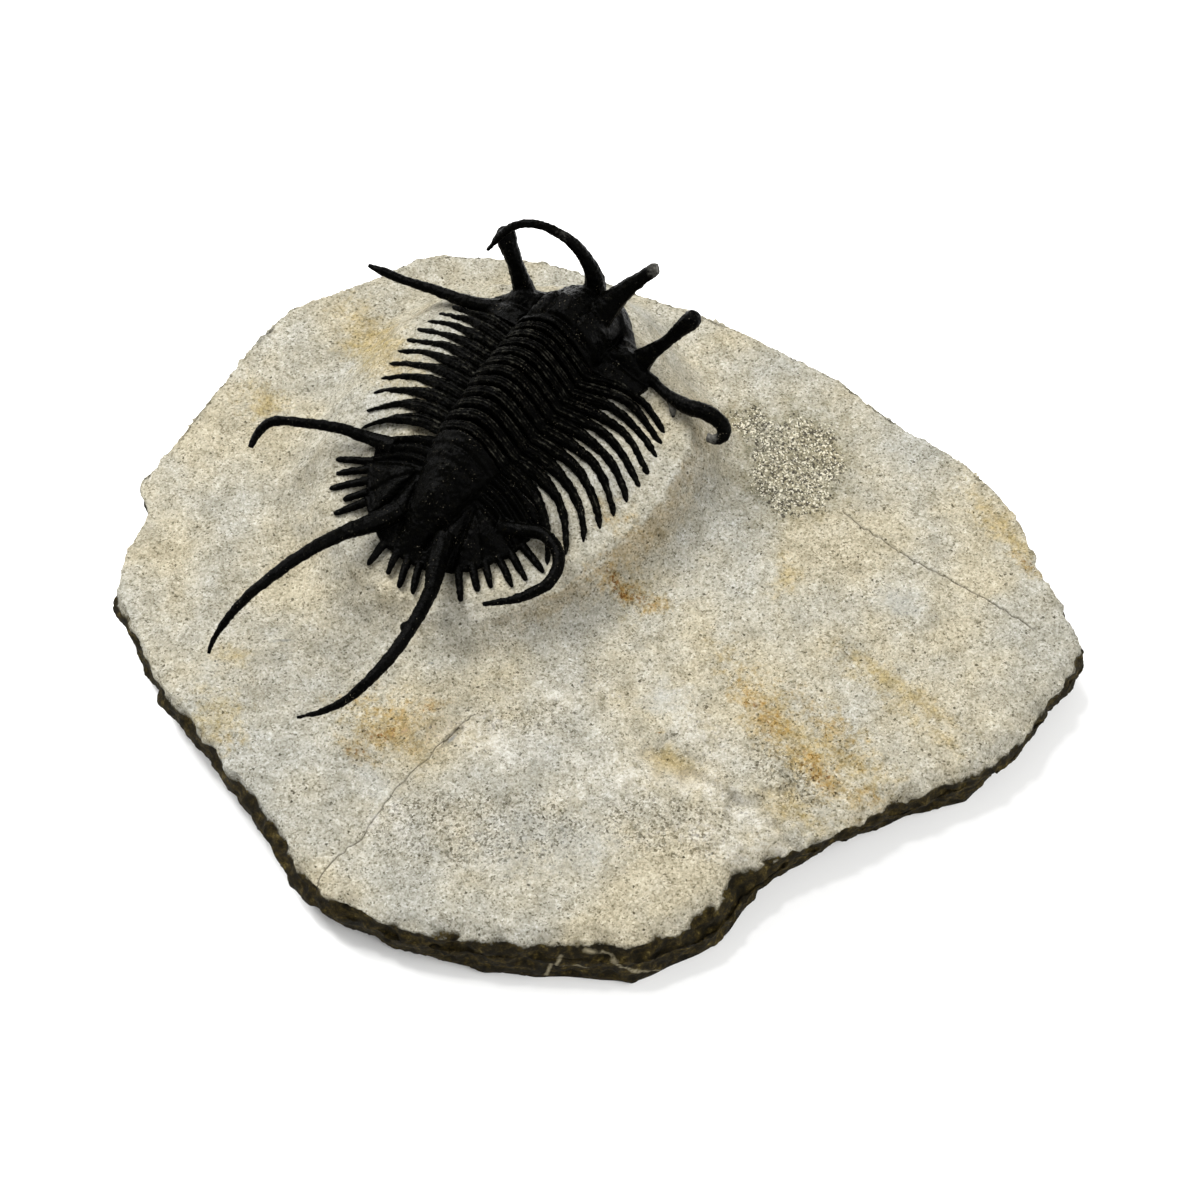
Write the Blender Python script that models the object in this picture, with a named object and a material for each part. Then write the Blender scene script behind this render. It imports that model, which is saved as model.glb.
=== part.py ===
"""A spiny ceratarges trilobite on the slab of limestone it was found in.

Units are metres and +Z is up. The origin is the middle of the slab's outline, on its flat underside, with
the slab's long way along X. Lengths below are in millimetres and are turned into metres by MM.

The animal has its own frame, carried by an empty: x to its right, y towards its head, z up from its back.
All of its pieces are modelled there, and the mound of matrix under it follows the underside of its shell.
"""

import math

import bmesh
import bpy
from mathutils import Euler, Matrix, Vector, noise

MM = 0.001

# Colours, linear
LIMESTONE = (0.52, 0.49, 0.43)
CALCITE = (0.012, 0.012, 0.011)

# Slab of limestone
SLAB_THICKNESS = 9.5
RIM_DROP = 0.7
RIM_LUMPS = 0.8
BELLY_HEIGHT = 0.5
BELLY_LUMPS = 0.15
BELLY_UNDERCUT = 0.35
WALL_BULGE = 0.35
WALL_ROUGHNESS = 0.4
WALL_LUMPS = 0.35
TOP_ROUGHNESS = 0.25
TOP_LUMPS = 0.12
RIM_STEPS = 90
TOP_RINGS = (0.985, 0.9, 0.68, 0.36, 0.1)

# Broken edge of the slab, seen from above: x, y, and how far the wall's foot runs back under it
RIM = (
    (59.2, -10.0, 1.0), (56.6, -14.1, 1.5), (54.4, -17.3, 2.2), (51.7, -20.7, 2.2), (47.8, -25.3, 2.4),
    (44.1, -26.6, 0.8), (39.5, -28.6, 2.6), (33.9, -30.9, 2.2), (30.2, -33.5, 4.0), (25.0, -35.8, 2.4),
    (20.8, -37.4, 2.2), (16.9, -39.9, 0.9), (14.1, -43.4, 0.6), (12.0, -45.6, 1.2), (8.2, -47.2, 0.8),
    (4.3, -48.7, 0.5), (1.5, -48.2, 0.4), (-2.6, -48.0, 0.4), (-7.7, -48.4, 0.6), (-12.9, -47.7, 0.8),
    (-18.1, -47.2, 1.6), (-22.9, -46.6, 2.6), (-28.5, -43.9, 3.0), (-32.8, -41.7, 3.0), (-35.4, -37.9, 3.0),
    (-38.6, -32.4, 3.0), (-42.9, -27.3, 2.6), (-46.9, -22.0, 2.4), (-51.2, -17.3, 2.0), (-54.6, -11.2, 1.6),
    (-57.5, -6.1, 1.0), (-59.2, -2.2, 0.6), (-58.7, 2.7, 0.6), (-56.6, 8.0, 1.0), (-56.3, 10.8, 1.2),
    (-57.9, 13.3, 1.6), (-55.2, 16.2, 1.2), (-52.9, 20.6, 1.2), (-48.0, 28.8, 1.4), (-43.8, 35.4, 1.6),
    (-40.3, 39.8, 1.8), (-35.9, 41.9, 1.4), (-28.3, 45.3, 1.2), (-25.6, 47.1, 1.2), (-21.5, 48.7, 1.4),
    (-13.9, 48.0, 1.6), (-7.8, 47.6, 1.6), (-2.2, 45.8, 1.4), (4.9, 42.4, 1.4), (11.9, 39.7, 1.6),
    (17.5, 37.0, 1.6), (21.1, 34.9, 1.4), (26.2, 31.6, 1.4), (31.1, 28.8, 1.6), (37.3, 22.7, 1.6),
    (42.6, 18.8, 1.6), (47.5, 15.2, 1.4), (51.2, 10.0, 1.4), (53.4, 6.3, 1.2), (54.4, 0.7, 1.2),
    (56.7, -2.7, 1.0), (57.6, -5.8, 0.8),
)

# The animal on the slab
ANIMAL_PLACE = (-9.9, 19.2, 15.5)
ANIMAL_TURN = (5.0, -1.5, -36.0)

# How the back changes along the animal: y, then the value there, from tail to head
AXIS_HALF_WIDTH = ((-24.0, 1.4), (-19.0, 2.5), (-14.0, 4.0), (-9.0, 5.1), (0.0, 5.8), (8.0, 5.8),
                   (13.0, 5.6), (17.0, 4.6), (20.0, 3.0))
CREST_HEIGHT = ((-24.2, 0.9), (-22.0, 2.4), (-19.0, 4.1), (-14.0, 6.8), (-9.0, 8.7), (0.0, 10.2),
                (8.0, 10.7), (13.0, 10.2), (16.0, 8.4), (18.5, 5.4), (20.0, 1.4))
FURROW_HEIGHT = ((-24.2, 0.9), (-19.0, 2.6), (-14.0, 4.0), (-9.0, 5.0), (0.0, 5.6), (8.0, 5.6), (13.0, 4.8),
                 (17.0, 3.2), (20.0, 1.2))
EDGE_HALF_WIDTH = ((-24.2, 1.0), (-23.6, 4.0), (-21.6, 7.4), (-18.0, 10.2), (-14.0, 11.6), (-9.5, 11.4),
                   (0.0, 11.2), (8.0, 11.4), (10.5, 12.8), (12.5, 12.2), (14.5, 9.6), (17.0, 6.0),
                   (19.0, 3.0), (20.0, 0.8))
EDGE_HEIGHT = ((-24.2, 0.8), (-18.0, 1.0), (-12.0, 1.8), (-8.0, 3.0), (0.0, 3.6), (6.0, 3.4), (9.5, 2.0),
               (14.0, 1.2), (20.0, 0.9))

# Shape of the back from side to side: powers below 1 are fuller than a cosine, above 1 hollow
AXIS_CURVE = 0.75
FLANK_CURVE = 1.5
SPINE_FALL = 0.42
TIP_HEIGHT = 0.5
RING_ARCH = 0.7

# Shell and the matrix that it lies on
SHELL_THICKNESS = 0.9
SPINE_THICKNESS = 0.3
SPINE_THINNING = 4.0
CORE_SHARE = 0.45
MATRIX_GAP = 0.4
MATRIX_MARGIN = 1.3

# Thorax: the value at the middle segment, then its slope and its curve from one segment to the next
SEGMENTS = 11
MIDDLE_SEGMENT = 6
SEGMENT_PLACE = (0.0, -1.56, -0.024)
SEGMENT_REACH = (18.6, -0.13, -0.098)
SEGMENT_SWEEP = (-0.9, -0.49, -0.026)
SEGMENT_GAP = 0.24
SEGMENT_STATIONS = (0.0, 0.11, 0.2, 0.27, 0.315, 0.4, 0.5, 0.6, 0.69, 0.82, 0.94, 1.0)
SWEEP_CURVE = 1.4
TIP_CURVE = 1.15
RIDGE_HEIGHT = 0.34
RIDGE_PLACE = 0.25
GROOVE_DEPTH = 0.3
SPINE_NECK = 0.42
SPINE_NECK_SHARE = 1 / 3
SPINE_TAPER = 0.4
SPINE_FLATTENING = 0.7

# Shields
SHIELD_COLUMNS = 8
SHIELD_LIFT = 0.05
LEAST_THICKNESS = 0.35
END_CURVE = 3

# Swellings of the head: height, then x and y of the top, and how far it spreads along x and along y
GLABELLA_LOBE = (0.9, 3.4, 12.2, 1.3, 1.8)
STALK_BASE = (1.8, 8.6, 12.9, 1.7, 1.5)
NECK_DEPTH = 0.7
NECK_PLACE = 9.4
NECK_SPREAD = 0.5
NECK_HALF_WIDTH = 6.0

# Ribs of the tail shield, which fan out from a point on its axis
RIB_CENTRE = -8.0
RIB_HEIGHT = 0.35
RIB_TURNS = 8.0
RIB_START = 5.0
RIB_FADE = 3.0
RIB_EDGE_FADE = 2.0

# Rows of the two shields, from back to front: y in the middle, y and reach of the left and of the right end,
# and how much of the rings' arch the row follows
HEAD_ROWS = (
    (7.98, 9.6, 12.2, 11.2, 10.7, 1.0), (8.9, 10.1, 12.9, 11.7, 11.2, 0.9),
    (10.3, 10.9, 13.0, 12.3, 11.6, 0.5), (12.0, 11.8, 12.4, 12.9, 11.2, 0.2),
    (14.2, 12.7, 11.2, 13.6, 10.2, 0.0), (16.6, 13.7, 9.6, 14.4, 8.8, 0.0),
    (18.5, 14.8, 8.4, 15.2, 7.4, 0.0), (19.5, 15.4, 7.4, 15.8, 6.4, 0.0),
)
TAIL_ROWS = (
    (-23.9, -22.8, 5.0, -22.8, 5.0, 0.0), (-22.6, -21.6, 7.0, -21.6, 7.0, 0.0),
    (-20.4, -20.2, 8.4, -20.2, 8.4, 0.0), (-17.8, -18.6, 9.6, -18.6, 9.6, 0.1),
    (-15.2, -17.0, 10.6, -17.0, 10.6, 0.3), (-12.8, -15.6, 11.2, -15.6, 11.2, 0.6),
    (-10.8, -14.4, 11.4, -14.4, 11.4, 0.9), (-9.46, -13.4, 11.0, -13.4, 11.0, 1.0),
)

# Mound of matrix under the animal: x, y of the edge of its level top, and how far its foot lies beyond that
MOUND_EDGE = (
    (0.0, 20.0, 3.0), (7.0, 17.2, 3.0), (11.5, 14.6, 2.5), (14.5, 13.2, 2.0), (17.2, 11.6, 1.4),
    (19.2, 8.4, 1.6), (20.3, 5.0, 3.2), (20.9, 1.0, 4.6), (20.6, -3.0, 5.2), (19.6, -8.5, 4.6),
    (18.0, -14.0, 3.0), (15.6, -18.9, 2.4), (12.0, -23.0, 2.7), (7.5, -26.0, 2.7), (2.8, -27.8, 2.4),
    (-2.5, -27.9, 2.2), (-7.5, -26.1, 2.0), (-12.2, -23.6, 1.3), (-15.3, -20.4, 1.1), (-17.4, -17.0, 1.2),
    (-18.6, -12.0, 1.8), (-19.6, -5.0, 2.2), (-19.9, 0.0, 2.5), (-19.0, 5.0, 3.0), (-17.6, 9.0, 3.0),
    (-14.5, 12.5, 3.0), (-8.0, 16.8, 3.0),
)
MOUND_MIDDLE = (0.0, -3.0)
MOUND_STEPS = 40
MOUND_RINGS = (0.16, 0.32, 0.5, 0.68, 0.85)
MOUND_FOOT_DEPTH = 1.2

# Long spines: x, y, z and thickness at hand-placed points, from inside the shield to the tip
HEAD_SPINES = {
    "genal_left": ((-10.6, 10.9, 2.2, 1.8), (-13.2, 9.8, 1.7, 1.7), (-16.6, 8.9, 1.8, 1.45),
                   (-20.0, 8.1, 2.0, 1.2), (-23.3, 7.2, 2.3, 1.05), (-26.0, 6.6, 2.6, 1.05),
                   (-28.3, 6.2, 2.8, 0.5)),
    "genal_right": ((9.6, 12.6, 2.3, 1.8), (11.5, 12.7, 1.8, 1.35), (14.0, 12.2, 2.0, 1.0),
                    (17.5, 11.9, 2.6, 1.45), (20.0, 12.6, 3.0, 1.45), (22.3, 12.7, 2.6, 1.4),
                    (23.5, 11.9, 2.0, 1.2), (23.1, 10.8, 1.6, 1.0), (21.8, 10.1, 1.4, 0.6)),
    "stalk_left": ((-8.2, 12.9, 1.8, 2.6), (-8.8, 13.6, 4.4, 1.8), (-10.2, 14.4, 7.8, 1.3),
                   (-11.4, 15.0, 9.8, 1.5), (-12.2, 15.6, 11.0, 1.6), (-12.6, 16.0, 11.8, 1.0)),
    "stalk_right": ((8.4, 12.9, 1.8, 2.6), (10.2, 14.2, 4.8, 1.7), (11.8, 15.6, 7.0, 1.4),
                    (13.1, 17.2, 9.0, 1.7), (14.0, 18.3, 10.5, 2.2), (14.5, 18.9, 11.3, 1.4)),
    "horn_left": ((0.2, 15.6, 5.6, 3.2), (0.2, 17.1, 8.0, 2.6), (-0.4, 17.6, 10.5, 1.9),
                  (-1.6, 17.6, 13.2, 1.5), (-3.0, 17.2, 15.4, 1.3), (-4.7, 16.6, 16.9, 1.1),
                  (-6.5, 16.0, 17.5, 1.0), (-8.8, 15.0, 17.0, 1.0), (-10.7, 13.6, 15.2, 0.9),
                  (-12.1, 12.0, 12.4, 0.4)),
    "horn_right": ((2.4, 13.8, 6.6, 3.4), (3.4, 15.8, 8.4, 2.6), (4.8, 17.9, 10.5, 1.7),
                   (6.4, 19.5, 12.5, 1.3), (7.6, 20.7, 14.0, 0.9)),
}
TAIL_SPINES = {
    "side_left": ((-9.4, -12.8, 2.1, 2.2), (-12.6, -13.4, 2.0, 1.6), (-16.4, -14.8, 3.0, 1.3),
                  (-20.6, -17.2, 4.0, 1.1), (-23.2, -18.8, 4.2, 1.1), (-24.2, -20.7, 3.8, 1.0),
                  (-24.0, -23.2, 3.2, 0.7)),
    "side_right": ((8.0, -14.5, 2.2, 2.2), (10.4, -13.5, 2.2, 1.7), (13.2, -12.7, 3.2, 1.5),
                   (16.2, -13.6, 4.0, 1.45), (17.9, -15.4, 4.2, 1.4), (18.2, -17.8, 3.8, 1.3),
                   (17.0, -20.0, 3.2, 1.15), (15.3, -21.8, 2.6, 0.95), (12.6, -23.9, 2.0, 0.5)),
    "rear_left": ((-3.4, -19.4, 2.4, 2.4), (-4.8, -22.5, 2.6, 2.2), (-6.7, -26.7, 4.0, 1.6),
                  (-8.3, -32.1, 5.4, 1.4), (-9.8, -37.9, 5.5, 1.2), (-10.5, -41.0, 5.0, 1.05),
                  (-10.9, -43.6, 4.2, 0.85), (-11.1, -46.0, 3.1, 0.6), (-10.8, -47.6, 2.2, 0.35)),
    "rear_right": ((3.4, -19.2, 2.4, 2.4), (4.9, -22.5, 2.9, 2.3), (7.3, -26.7, 4.5, 1.7),
                   (8.7, -31.2, 5.8, 1.5), (9.3, -35.8, 6.2, 1.4), (8.9, -40.2, 5.8, 1.2),
                   (7.7, -43.7, 4.6, 0.95), (5.7, -46.2, 3.4, 0.7), (3.3, -48.1, 2.2, 0.35)),
}
SPINE_SIDES = 6
SPINE_STEPS = 2
FRINGE_SIDES = 5

# Fringe of short spines round the tail shield: x, y of root and of tip
TAIL_FRINGE = (
    (-10.9, -15.4, -15.3, -17.6), (-10.6, -16.4, -14.0, -19.2), (-9.8, -17.8, -13.4, -21.4),
    (-8.9, -19.2, -11.0, -21.6), (-8.2, -20.4, -10.7, -23.8), (-2.8, -23.4, -2.9, -27.1),
    (-0.8, -23.6, -0.1, -26.7), (0.9, -23.6, 2.2, -27.4), (2.5, -23.4, 4.1, -27.1),
    (6.8, -21.3, 9.6, -24.6), (7.9, -20.0, 10.5, -22.4), (8.9, -18.8, 11.6, -21.1),
    (9.8, -17.3, 13.6, -19.5), (10.5, -15.9, 14.5, -17.9), (11.2, -14.4, 15.7, -15.9),
)
FRINGE_THICKNESS = (0.85, 0.68, 0.3)
FRINGE_HEIGHT = 0.75
FRINGE_TIP_HEIGHT = 0.45
FRINGE_ROOT = 0.25


def value_along(table, place):
    """The value at a place along a table of (place, value) rows, on the straight line between two."""
    for (low, low_value), (high, high_value) in zip(table, table[1:]):
        if place <= high:
            share = max((place - low) / (high - low), 0.0)
            return low_value + (high_value - low_value) * share
    return table[-1][1]


def back_height(x, y):
    """Height of the animal's back, without its ridges: a vaulted axis, falling flanks, then the spines."""
    side = abs(x)
    axis = value_along(AXIS_HALF_WIDTH, y)
    crest = value_along(CREST_HEIGHT, y)
    furrow = value_along(FURROW_HEIGHT, y)
    edge = max(value_along(EDGE_HALF_WIDTH, y), axis + 0.5)
    edge_height = value_along(EDGE_HEIGHT, y)
    if side < axis:
        return furrow + (crest - furrow) * math.cos(math.pi / 2 * side / axis) ** AXIS_CURVE
    if side < edge:
        share = (side - axis) / (edge - axis)
        return furrow + (edge_height - furrow) * share ** FLANK_CURVE
    return max(edge_height - SPINE_FALL * (side - edge), TIP_HEIGHT)


def under_height(x, y):
    """Height of the shell's underside, thicker under the crest and thinner out along the spines."""
    side = abs(x)
    axis = value_along(AXIS_HALF_WIDTH, y)
    if side < axis:
        furrow = back_height(axis, y)
        return furrow + CORE_SHARE * (back_height(x, y) - furrow) - SHELL_THICKNESS
    edge = value_along(EDGE_HALF_WIDTH, y)
    thinning = min(max(side - edge, 0.0) / SPINE_THINNING, 1.0)
    return back_height(x, y) - SHELL_THICKNESS + (SHELL_THICKNESS - SPINE_THICKNESS) * thinning


def matrix_height(x, y):
    """Height of the matrix under the animal: below the lowest shell nearby, because its mesh is coarse."""
    nearby = [(x, y)]
    if abs(x) < value_along(EDGE_HALF_WIDTH, y):
        for turn in range(8):
            angle = math.pi / 4 * turn
            nearby.append((x + MATRIX_MARGIN * math.cos(angle), y + MATRIX_MARGIN * math.sin(angle)))
    return min(under_height(*spot) for spot in nearby) - MATRIX_GAP


def arch_forward(x, y):
    """How far the middle of a ring lies in front of its two ends."""
    return RING_ARCH * math.cos(math.pi / 2 * min(abs(x) / value_along(AXIS_HALF_WIDTH, y), 1.0))


def between(corners, t):
    """The point a share t of the way from the second to the third of four, on a smooth curve."""
    weights = (
        (-t + 2 * t ** 2 - t ** 3) / 2,
        (2 - 5 * t ** 2 + 3 * t ** 3) / 2,
        (t + 4 * t ** 2 - 3 * t ** 3) / 2,
        (-t ** 2 + t ** 3) / 2,
    )
    return [sum(weight * value for weight, value in zip(weights, values)) for values in zip(*corners)]


def curve_through(points, steps):
    """Points along a smooth open curve through the given ones, each of which may hold a thickness too."""
    last = len(points) - 1
    found = []
    for span in range(last):
        corners = [points[min(max(span + shift, 0), last)] for shift in (-1, 0, 1, 2)]
        found += [between(corners, step / steps) for step in range(steps)]
    return found + [list(points[-1])]


def closed_curve_through(points, count):
    """Points at equal steps along a smooth closed curve through the given ones."""
    found = []
    for index in range(count):
        span, t = divmod(index * len(points) / count, 1)
        corners = [points[(int(span) + shift) % len(points)] for shift in (-1, 0, 1, 2)]
        found.append(between(corners, t))
    return found


def material(name, colour, roughness):
    """A Principled material; the colour is linear."""
    made = bpy.data.materials.new(name)
    made.use_nodes = True
    shader = made.node_tree.nodes["Principled BSDF"]
    shader.inputs["Base Color"].default_value = (*colour, 1.0)
    shader.inputs["Roughness"].default_value = roughness
    shader.inputs["Metallic"].default_value = 0.0
    return made


def object_from_rings(name, rings, finish, parent=None, helper=False):
    """A closed object lofted through rings of points in millimetres, with a flat face closing each end."""
    mesh = bmesh.new()
    rows = [[mesh.verts.new(Vector(point) * MM) for point in ring] for ring in rings]
    count = len(rings[0])
    for low, high in zip(rows, rows[1:]):
        for index in range(count):
            following = (index + 1) % count
            mesh.faces.new((low[index], low[following], high[following], high[index]))
    mesh.faces.new(list(reversed(rows[0])))
    mesh.faces.new(rows[-1])
    bmesh.ops.recalc_face_normals(mesh, faces=mesh.faces)
    bmesh.ops.triangulate(mesh, faces=mesh.faces)
    data = bpy.data.meshes.new(name)
    mesh.to_mesh(data)
    mesh.free()
    data.materials.append(finish)
    made = bpy.data.objects.new(name, data)
    bpy.context.scene.collection.objects.link(made)
    made.parent = parent
    if helper:
        made.hide_render = True
        made.display_type = "WIRE"
    return made


def join_by_union(base, others):
    """Joins other objects to the base with Boolean modifiers."""
    for other in others:
        union = base.modifiers.new(other.name, "BOOLEAN")
        union.operation = "UNION"
        union.solver = "EXACT"
        union.object = other


def spine(name, points, sides, steps, finish, parent):
    """A tapering spine swept along its own curve, a helper that is joined to the shield it grows from."""
    path = curve_through(points, steps)
    places = [Vector(point[:3]) for point in path]
    rings = []
    side = Vector((0.0, 0.0, 1.0))
    for index, place in enumerate(places):
        ahead = (places[min(index + 1, len(places) - 1)] - places[max(index - 1, 0)]).normalized()
        side = (side - ahead * side.dot(ahead)).normalized()
        across = ahead.cross(side)
        radius = path[index][3] / 2
        ring = []
        for step in range(sides):
            angle = 2 * math.pi * step / sides
            ring.append(place + (side * math.cos(angle) + across * math.sin(angle)) * radius)
        rings.append(ring)
    return object_from_rings(name, rings, finish, parent, helper=True)


def slab(finish):
    """The slab: a flat foot, a broken wall whose foot runs back under the rim, and a gently uneven top."""
    rim = closed_curve_through(RIM, RIM_STEPS)
    foot, belly, lip = [], [], []
    for x, y, undercut in rim:
        place = Vector((x, y, 0.0))
        inward = -place.normalized()
        rough = noise.noise(Vector((x, y, 3.0)) * WALL_LUMPS)
        foot.append(place + inward * (undercut + WALL_ROUGHNESS * abs(rough)))
        belly_inset = BELLY_UNDERCUT * undercut + WALL_BULGE * (1 + rough)
        belly_height = SLAB_THICKNESS * (BELLY_HEIGHT + BELLY_LUMPS * rough)
        belly.append(place + inward * belly_inset + Vector((0, 0, belly_height)))
        lip.append(place + Vector((0, 0, SLAB_THICKNESS - RIM_DROP * (1 + RIM_LUMPS * rough))))
    rings = [foot, belly, lip]
    for share in TOP_RINGS:
        ring = []
        for x, y, _ in rim:
            rough = noise.noise(Vector((x * share, y * share, 7.0)) * TOP_LUMPS)
            ring.append(Vector((x * share, y * share, SLAB_THICKNESS + TOP_ROUGHNESS * rough)))
        rings.append(ring)
    return object_from_rings("matrix_slab", rings, finish)


def mound(finish, frame):
    """The mound of matrix: its top keeps just under the shell, and its foot is sunk into the slab."""
    edge = closed_curve_through(MOUND_EDGE, MOUND_STEPS)
    middle = Vector(MOUND_MIDDLE)
    rings = []
    for share in MOUND_RINGS + (1.0,):
        ring = []
        for x, y, _ in edge:
            place = middle.lerp(Vector((x, y)), share)
            ring.append(frame @ Vector((place.x, place.y, matrix_height(place.x, place.y))))
        rings.append(ring)
    foot = []
    for x, y, beyond in edge:
        place = Vector((x, y))
        place += (place - middle).normalized() * beyond
        spot = frame @ Vector((place.x, place.y, 0.0))
        foot.append(Vector((spot.x, spot.y, SLAB_THICKNESS - MOUND_FOOT_DEPTH)))
    rings.append(foot)
    return object_from_rings("mound", rings, finish, helper=True)


def by_segment(terms, number):
    """A size that changes from segment to segment; number 1 is next to the head."""
    start, slope, curve = terms
    step = number - MIDDLE_SEGMENT
    return start + slope * step + curve * step ** 2


def segment(number, finish, parent):
    """One segment: a vaulted ring, a ridged pleura on each side, and a spine that runs out from each."""
    middle = by_segment(SEGMENT_PLACE, number)
    pitch = by_segment(SEGMENT_PLACE, number - 0.5) - by_segment(SEGMENT_PLACE, number + 0.5)
    half = (pitch - SEGMENT_GAP) / 2
    reach = by_segment(SEGMENT_REACH, number)
    sweep = by_segment(SEGMENT_SWEEP, number)
    axis = value_along(AXIS_HALF_WIDTH, middle)
    edge = value_along(EDGE_HALF_WIDTH, middle)
    edge_height = value_along(EDGE_HEIGHT, middle)
    rings = []
    for share in [-share for share in reversed(SEGMENT_STATIONS[1:])] + list(SEGMENT_STATIONS):
        x = share * reach
        side = abs(x)
        outward = max(side - axis, 0.0) / (reach - axis)
        along_spine = max(side - edge, 0.0) / (reach - edge)
        y = middle + sweep * outward ** SWEEP_CURVE + arch_forward(x, middle)
        neck = SPINE_NECK * min(along_spine / SPINE_NECK_SHARE, 1.0)
        width = half * (1 - neck - SPINE_TAPER * along_spine)
        top = back_height(x, middle)
        under = under_height(x, middle)
        if side > edge:
            top = edge_height + (TIP_HEIGHT - edge_height) * along_spine ** TIP_CURVE
            under = top - SHELL_THICKNESS * (1 - SPINE_FLATTENING * along_spine)
        ridge = RIDGE_HEIGHT * (1 - SPINE_FLATTENING * along_spine)
        groove = GROOVE_DEPTH * (1 - along_spine)
        rings.append([
            (x, y + width, under),
            (x, y + width, top - groove),
            (x, y + RIDGE_PLACE * width, top + ridge),
            (x, y - width, top - groove / 2),
            (x, y - width, under),
        ])
    return object_from_rings(f"thorax_segment_{number:02d}", rings, finish, parent)


def shield(name, rows, relief, finish, parent):
    """A shield lofted from row to row, with the back's height and its own relief at each point."""
    rings = []
    for middle, left_y, left_reach, right_y, right_reach, arched in rows:
        top, under = [], []
        for index in range(-SHIELD_COLUMNS, SHIELD_COLUMNS + 1):
            end_y, reach = (left_y, left_reach) if index < 0 else (right_y, right_reach)
            across = math.sin(math.pi / 2 * index / SHIELD_COLUMNS)
            x = reach * across
            y = middle + (end_y - middle) * abs(across) ** END_CURVE + arched * arch_forward(x, middle)
            height = back_height(x, y) + relief(x, y)
            top.append((x, y, height))
            under.append((x, y, min(under_height(x, y) + SHIELD_LIFT, height - LEAST_THICKNESS)))
        rings.append(top + list(reversed(under)))
    return object_from_rings(name, rings, finish, parent)


def swelling(size, x, y):
    """A pair of rounded swellings, one on each side of the axis."""
    height, top_x, top_y, spread_x, spread_y = size
    return height * math.exp(-((abs(x) - top_x) / spread_x) ** 2 - ((y - top_y) / spread_y) ** 2)


def head_relief(x, y):
    """The glabella's side lobes, the swelling under each stalk, and the furrow of the neck."""
    neck = 0.0
    if abs(x) < NECK_HALF_WIDTH:
        neck = NECK_DEPTH * math.exp(-((y - NECK_PLACE) / NECK_SPREAD) ** 2)
    return swelling(GLABELLA_LOBE, x, y) + swelling(STALK_BASE, x, y) - neck


def tail_relief(x, y):
    """Ribs that fan out from the axis and fade at the edge of the tail shield."""
    angle = math.atan2(abs(x), RIB_CENTRE - y)
    away = math.hypot(x, y - RIB_CENTRE)
    inner = min(max((away - RIB_START) / RIB_FADE, 0.0), 1.0)
    outer = min(max((value_along(EDGE_HALF_WIDTH, y) - abs(x)) / RIB_EDGE_FADE, 0.0), 1.0)
    return RIB_HEIGHT * math.cos(angle * RIB_TURNS) * inner * outer


def fringe(number, ends, finish, parent):
    """One short spine of the fringe, which starts inside the tail shield."""
    root, tip = Vector(ends[:2]), Vector(ends[2:])
    inside = root.lerp(tip, -FRINGE_ROOT)
    halfway = root.lerp(tip, 0.5)
    points = (
        (*inside, FRINGE_HEIGHT, FRINGE_THICKNESS[0]),
        (*halfway, FRINGE_HEIGHT, FRINGE_THICKNESS[1]),
        (*tip, FRINGE_TIP_HEIGHT, FRINGE_THICKNESS[2]),
    )
    return spine(f"fringe_{number:02d}", points, FRINGE_SIDES, 1, finish, parent)


def main():
    for old in list(bpy.data.objects):
        bpy.data.objects.remove(old)

    limestone = material("sandblasted_limestone", LIMESTONE, 0.9)
    calcite = material("black_calcite_shell", CALCITE, 0.45)

    animal = bpy.data.objects.new("animal", None)
    bpy.context.scene.collection.objects.link(animal)
    turn = Euler([math.radians(angle) for angle in ANIMAL_TURN])
    animal.location = Vector(ANIMAL_PLACE) * MM
    animal.rotation_euler = turn
    frame = Matrix.Translation(ANIMAL_PLACE) @ turn.to_matrix().to_4x4()

    rock = slab(limestone)
    join_by_union(rock, [mound(limestone, frame)])

    for number in range(1, SEGMENTS + 1):
        segment(number, calcite, animal)

    head = shield("head_shield", HEAD_ROWS, head_relief, calcite, animal)
    head_spines = []
    for name, points in HEAD_SPINES.items():
        head_spines.append(spine(name, points, SPINE_SIDES, SPINE_STEPS, calcite, animal))
    join_by_union(head, head_spines)

    tail = shield("tail_shield", TAIL_ROWS, tail_relief, calcite, animal)
    tail_spines = []
    for name, points in TAIL_SPINES.items():
        tail_spines.append(spine(name, points, SPINE_SIDES, SPINE_STEPS, calcite, animal))
    for number, ends in enumerate(TAIL_FRINGE, 1):
        tail_spines.append(fringe(number, ends, calcite, animal))
    join_by_union(tail, tail_spines)


main()
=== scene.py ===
# %% [markdown]
# # A spiny trilobite on its slab of limestone
#
# The real thing is a fossil as it leaves a preparator's bench. The animal is black calcite, about 44 mm
# long, and it stands free of a pale slab that is 118 mm across. The solids of the part already have its
# sizes. This lesson loads them as a fixed frame and lays the fine surface over them: broken stone, ribbed
# rings and spines.

# %% Load the frame and measure it
import math
import random

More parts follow.
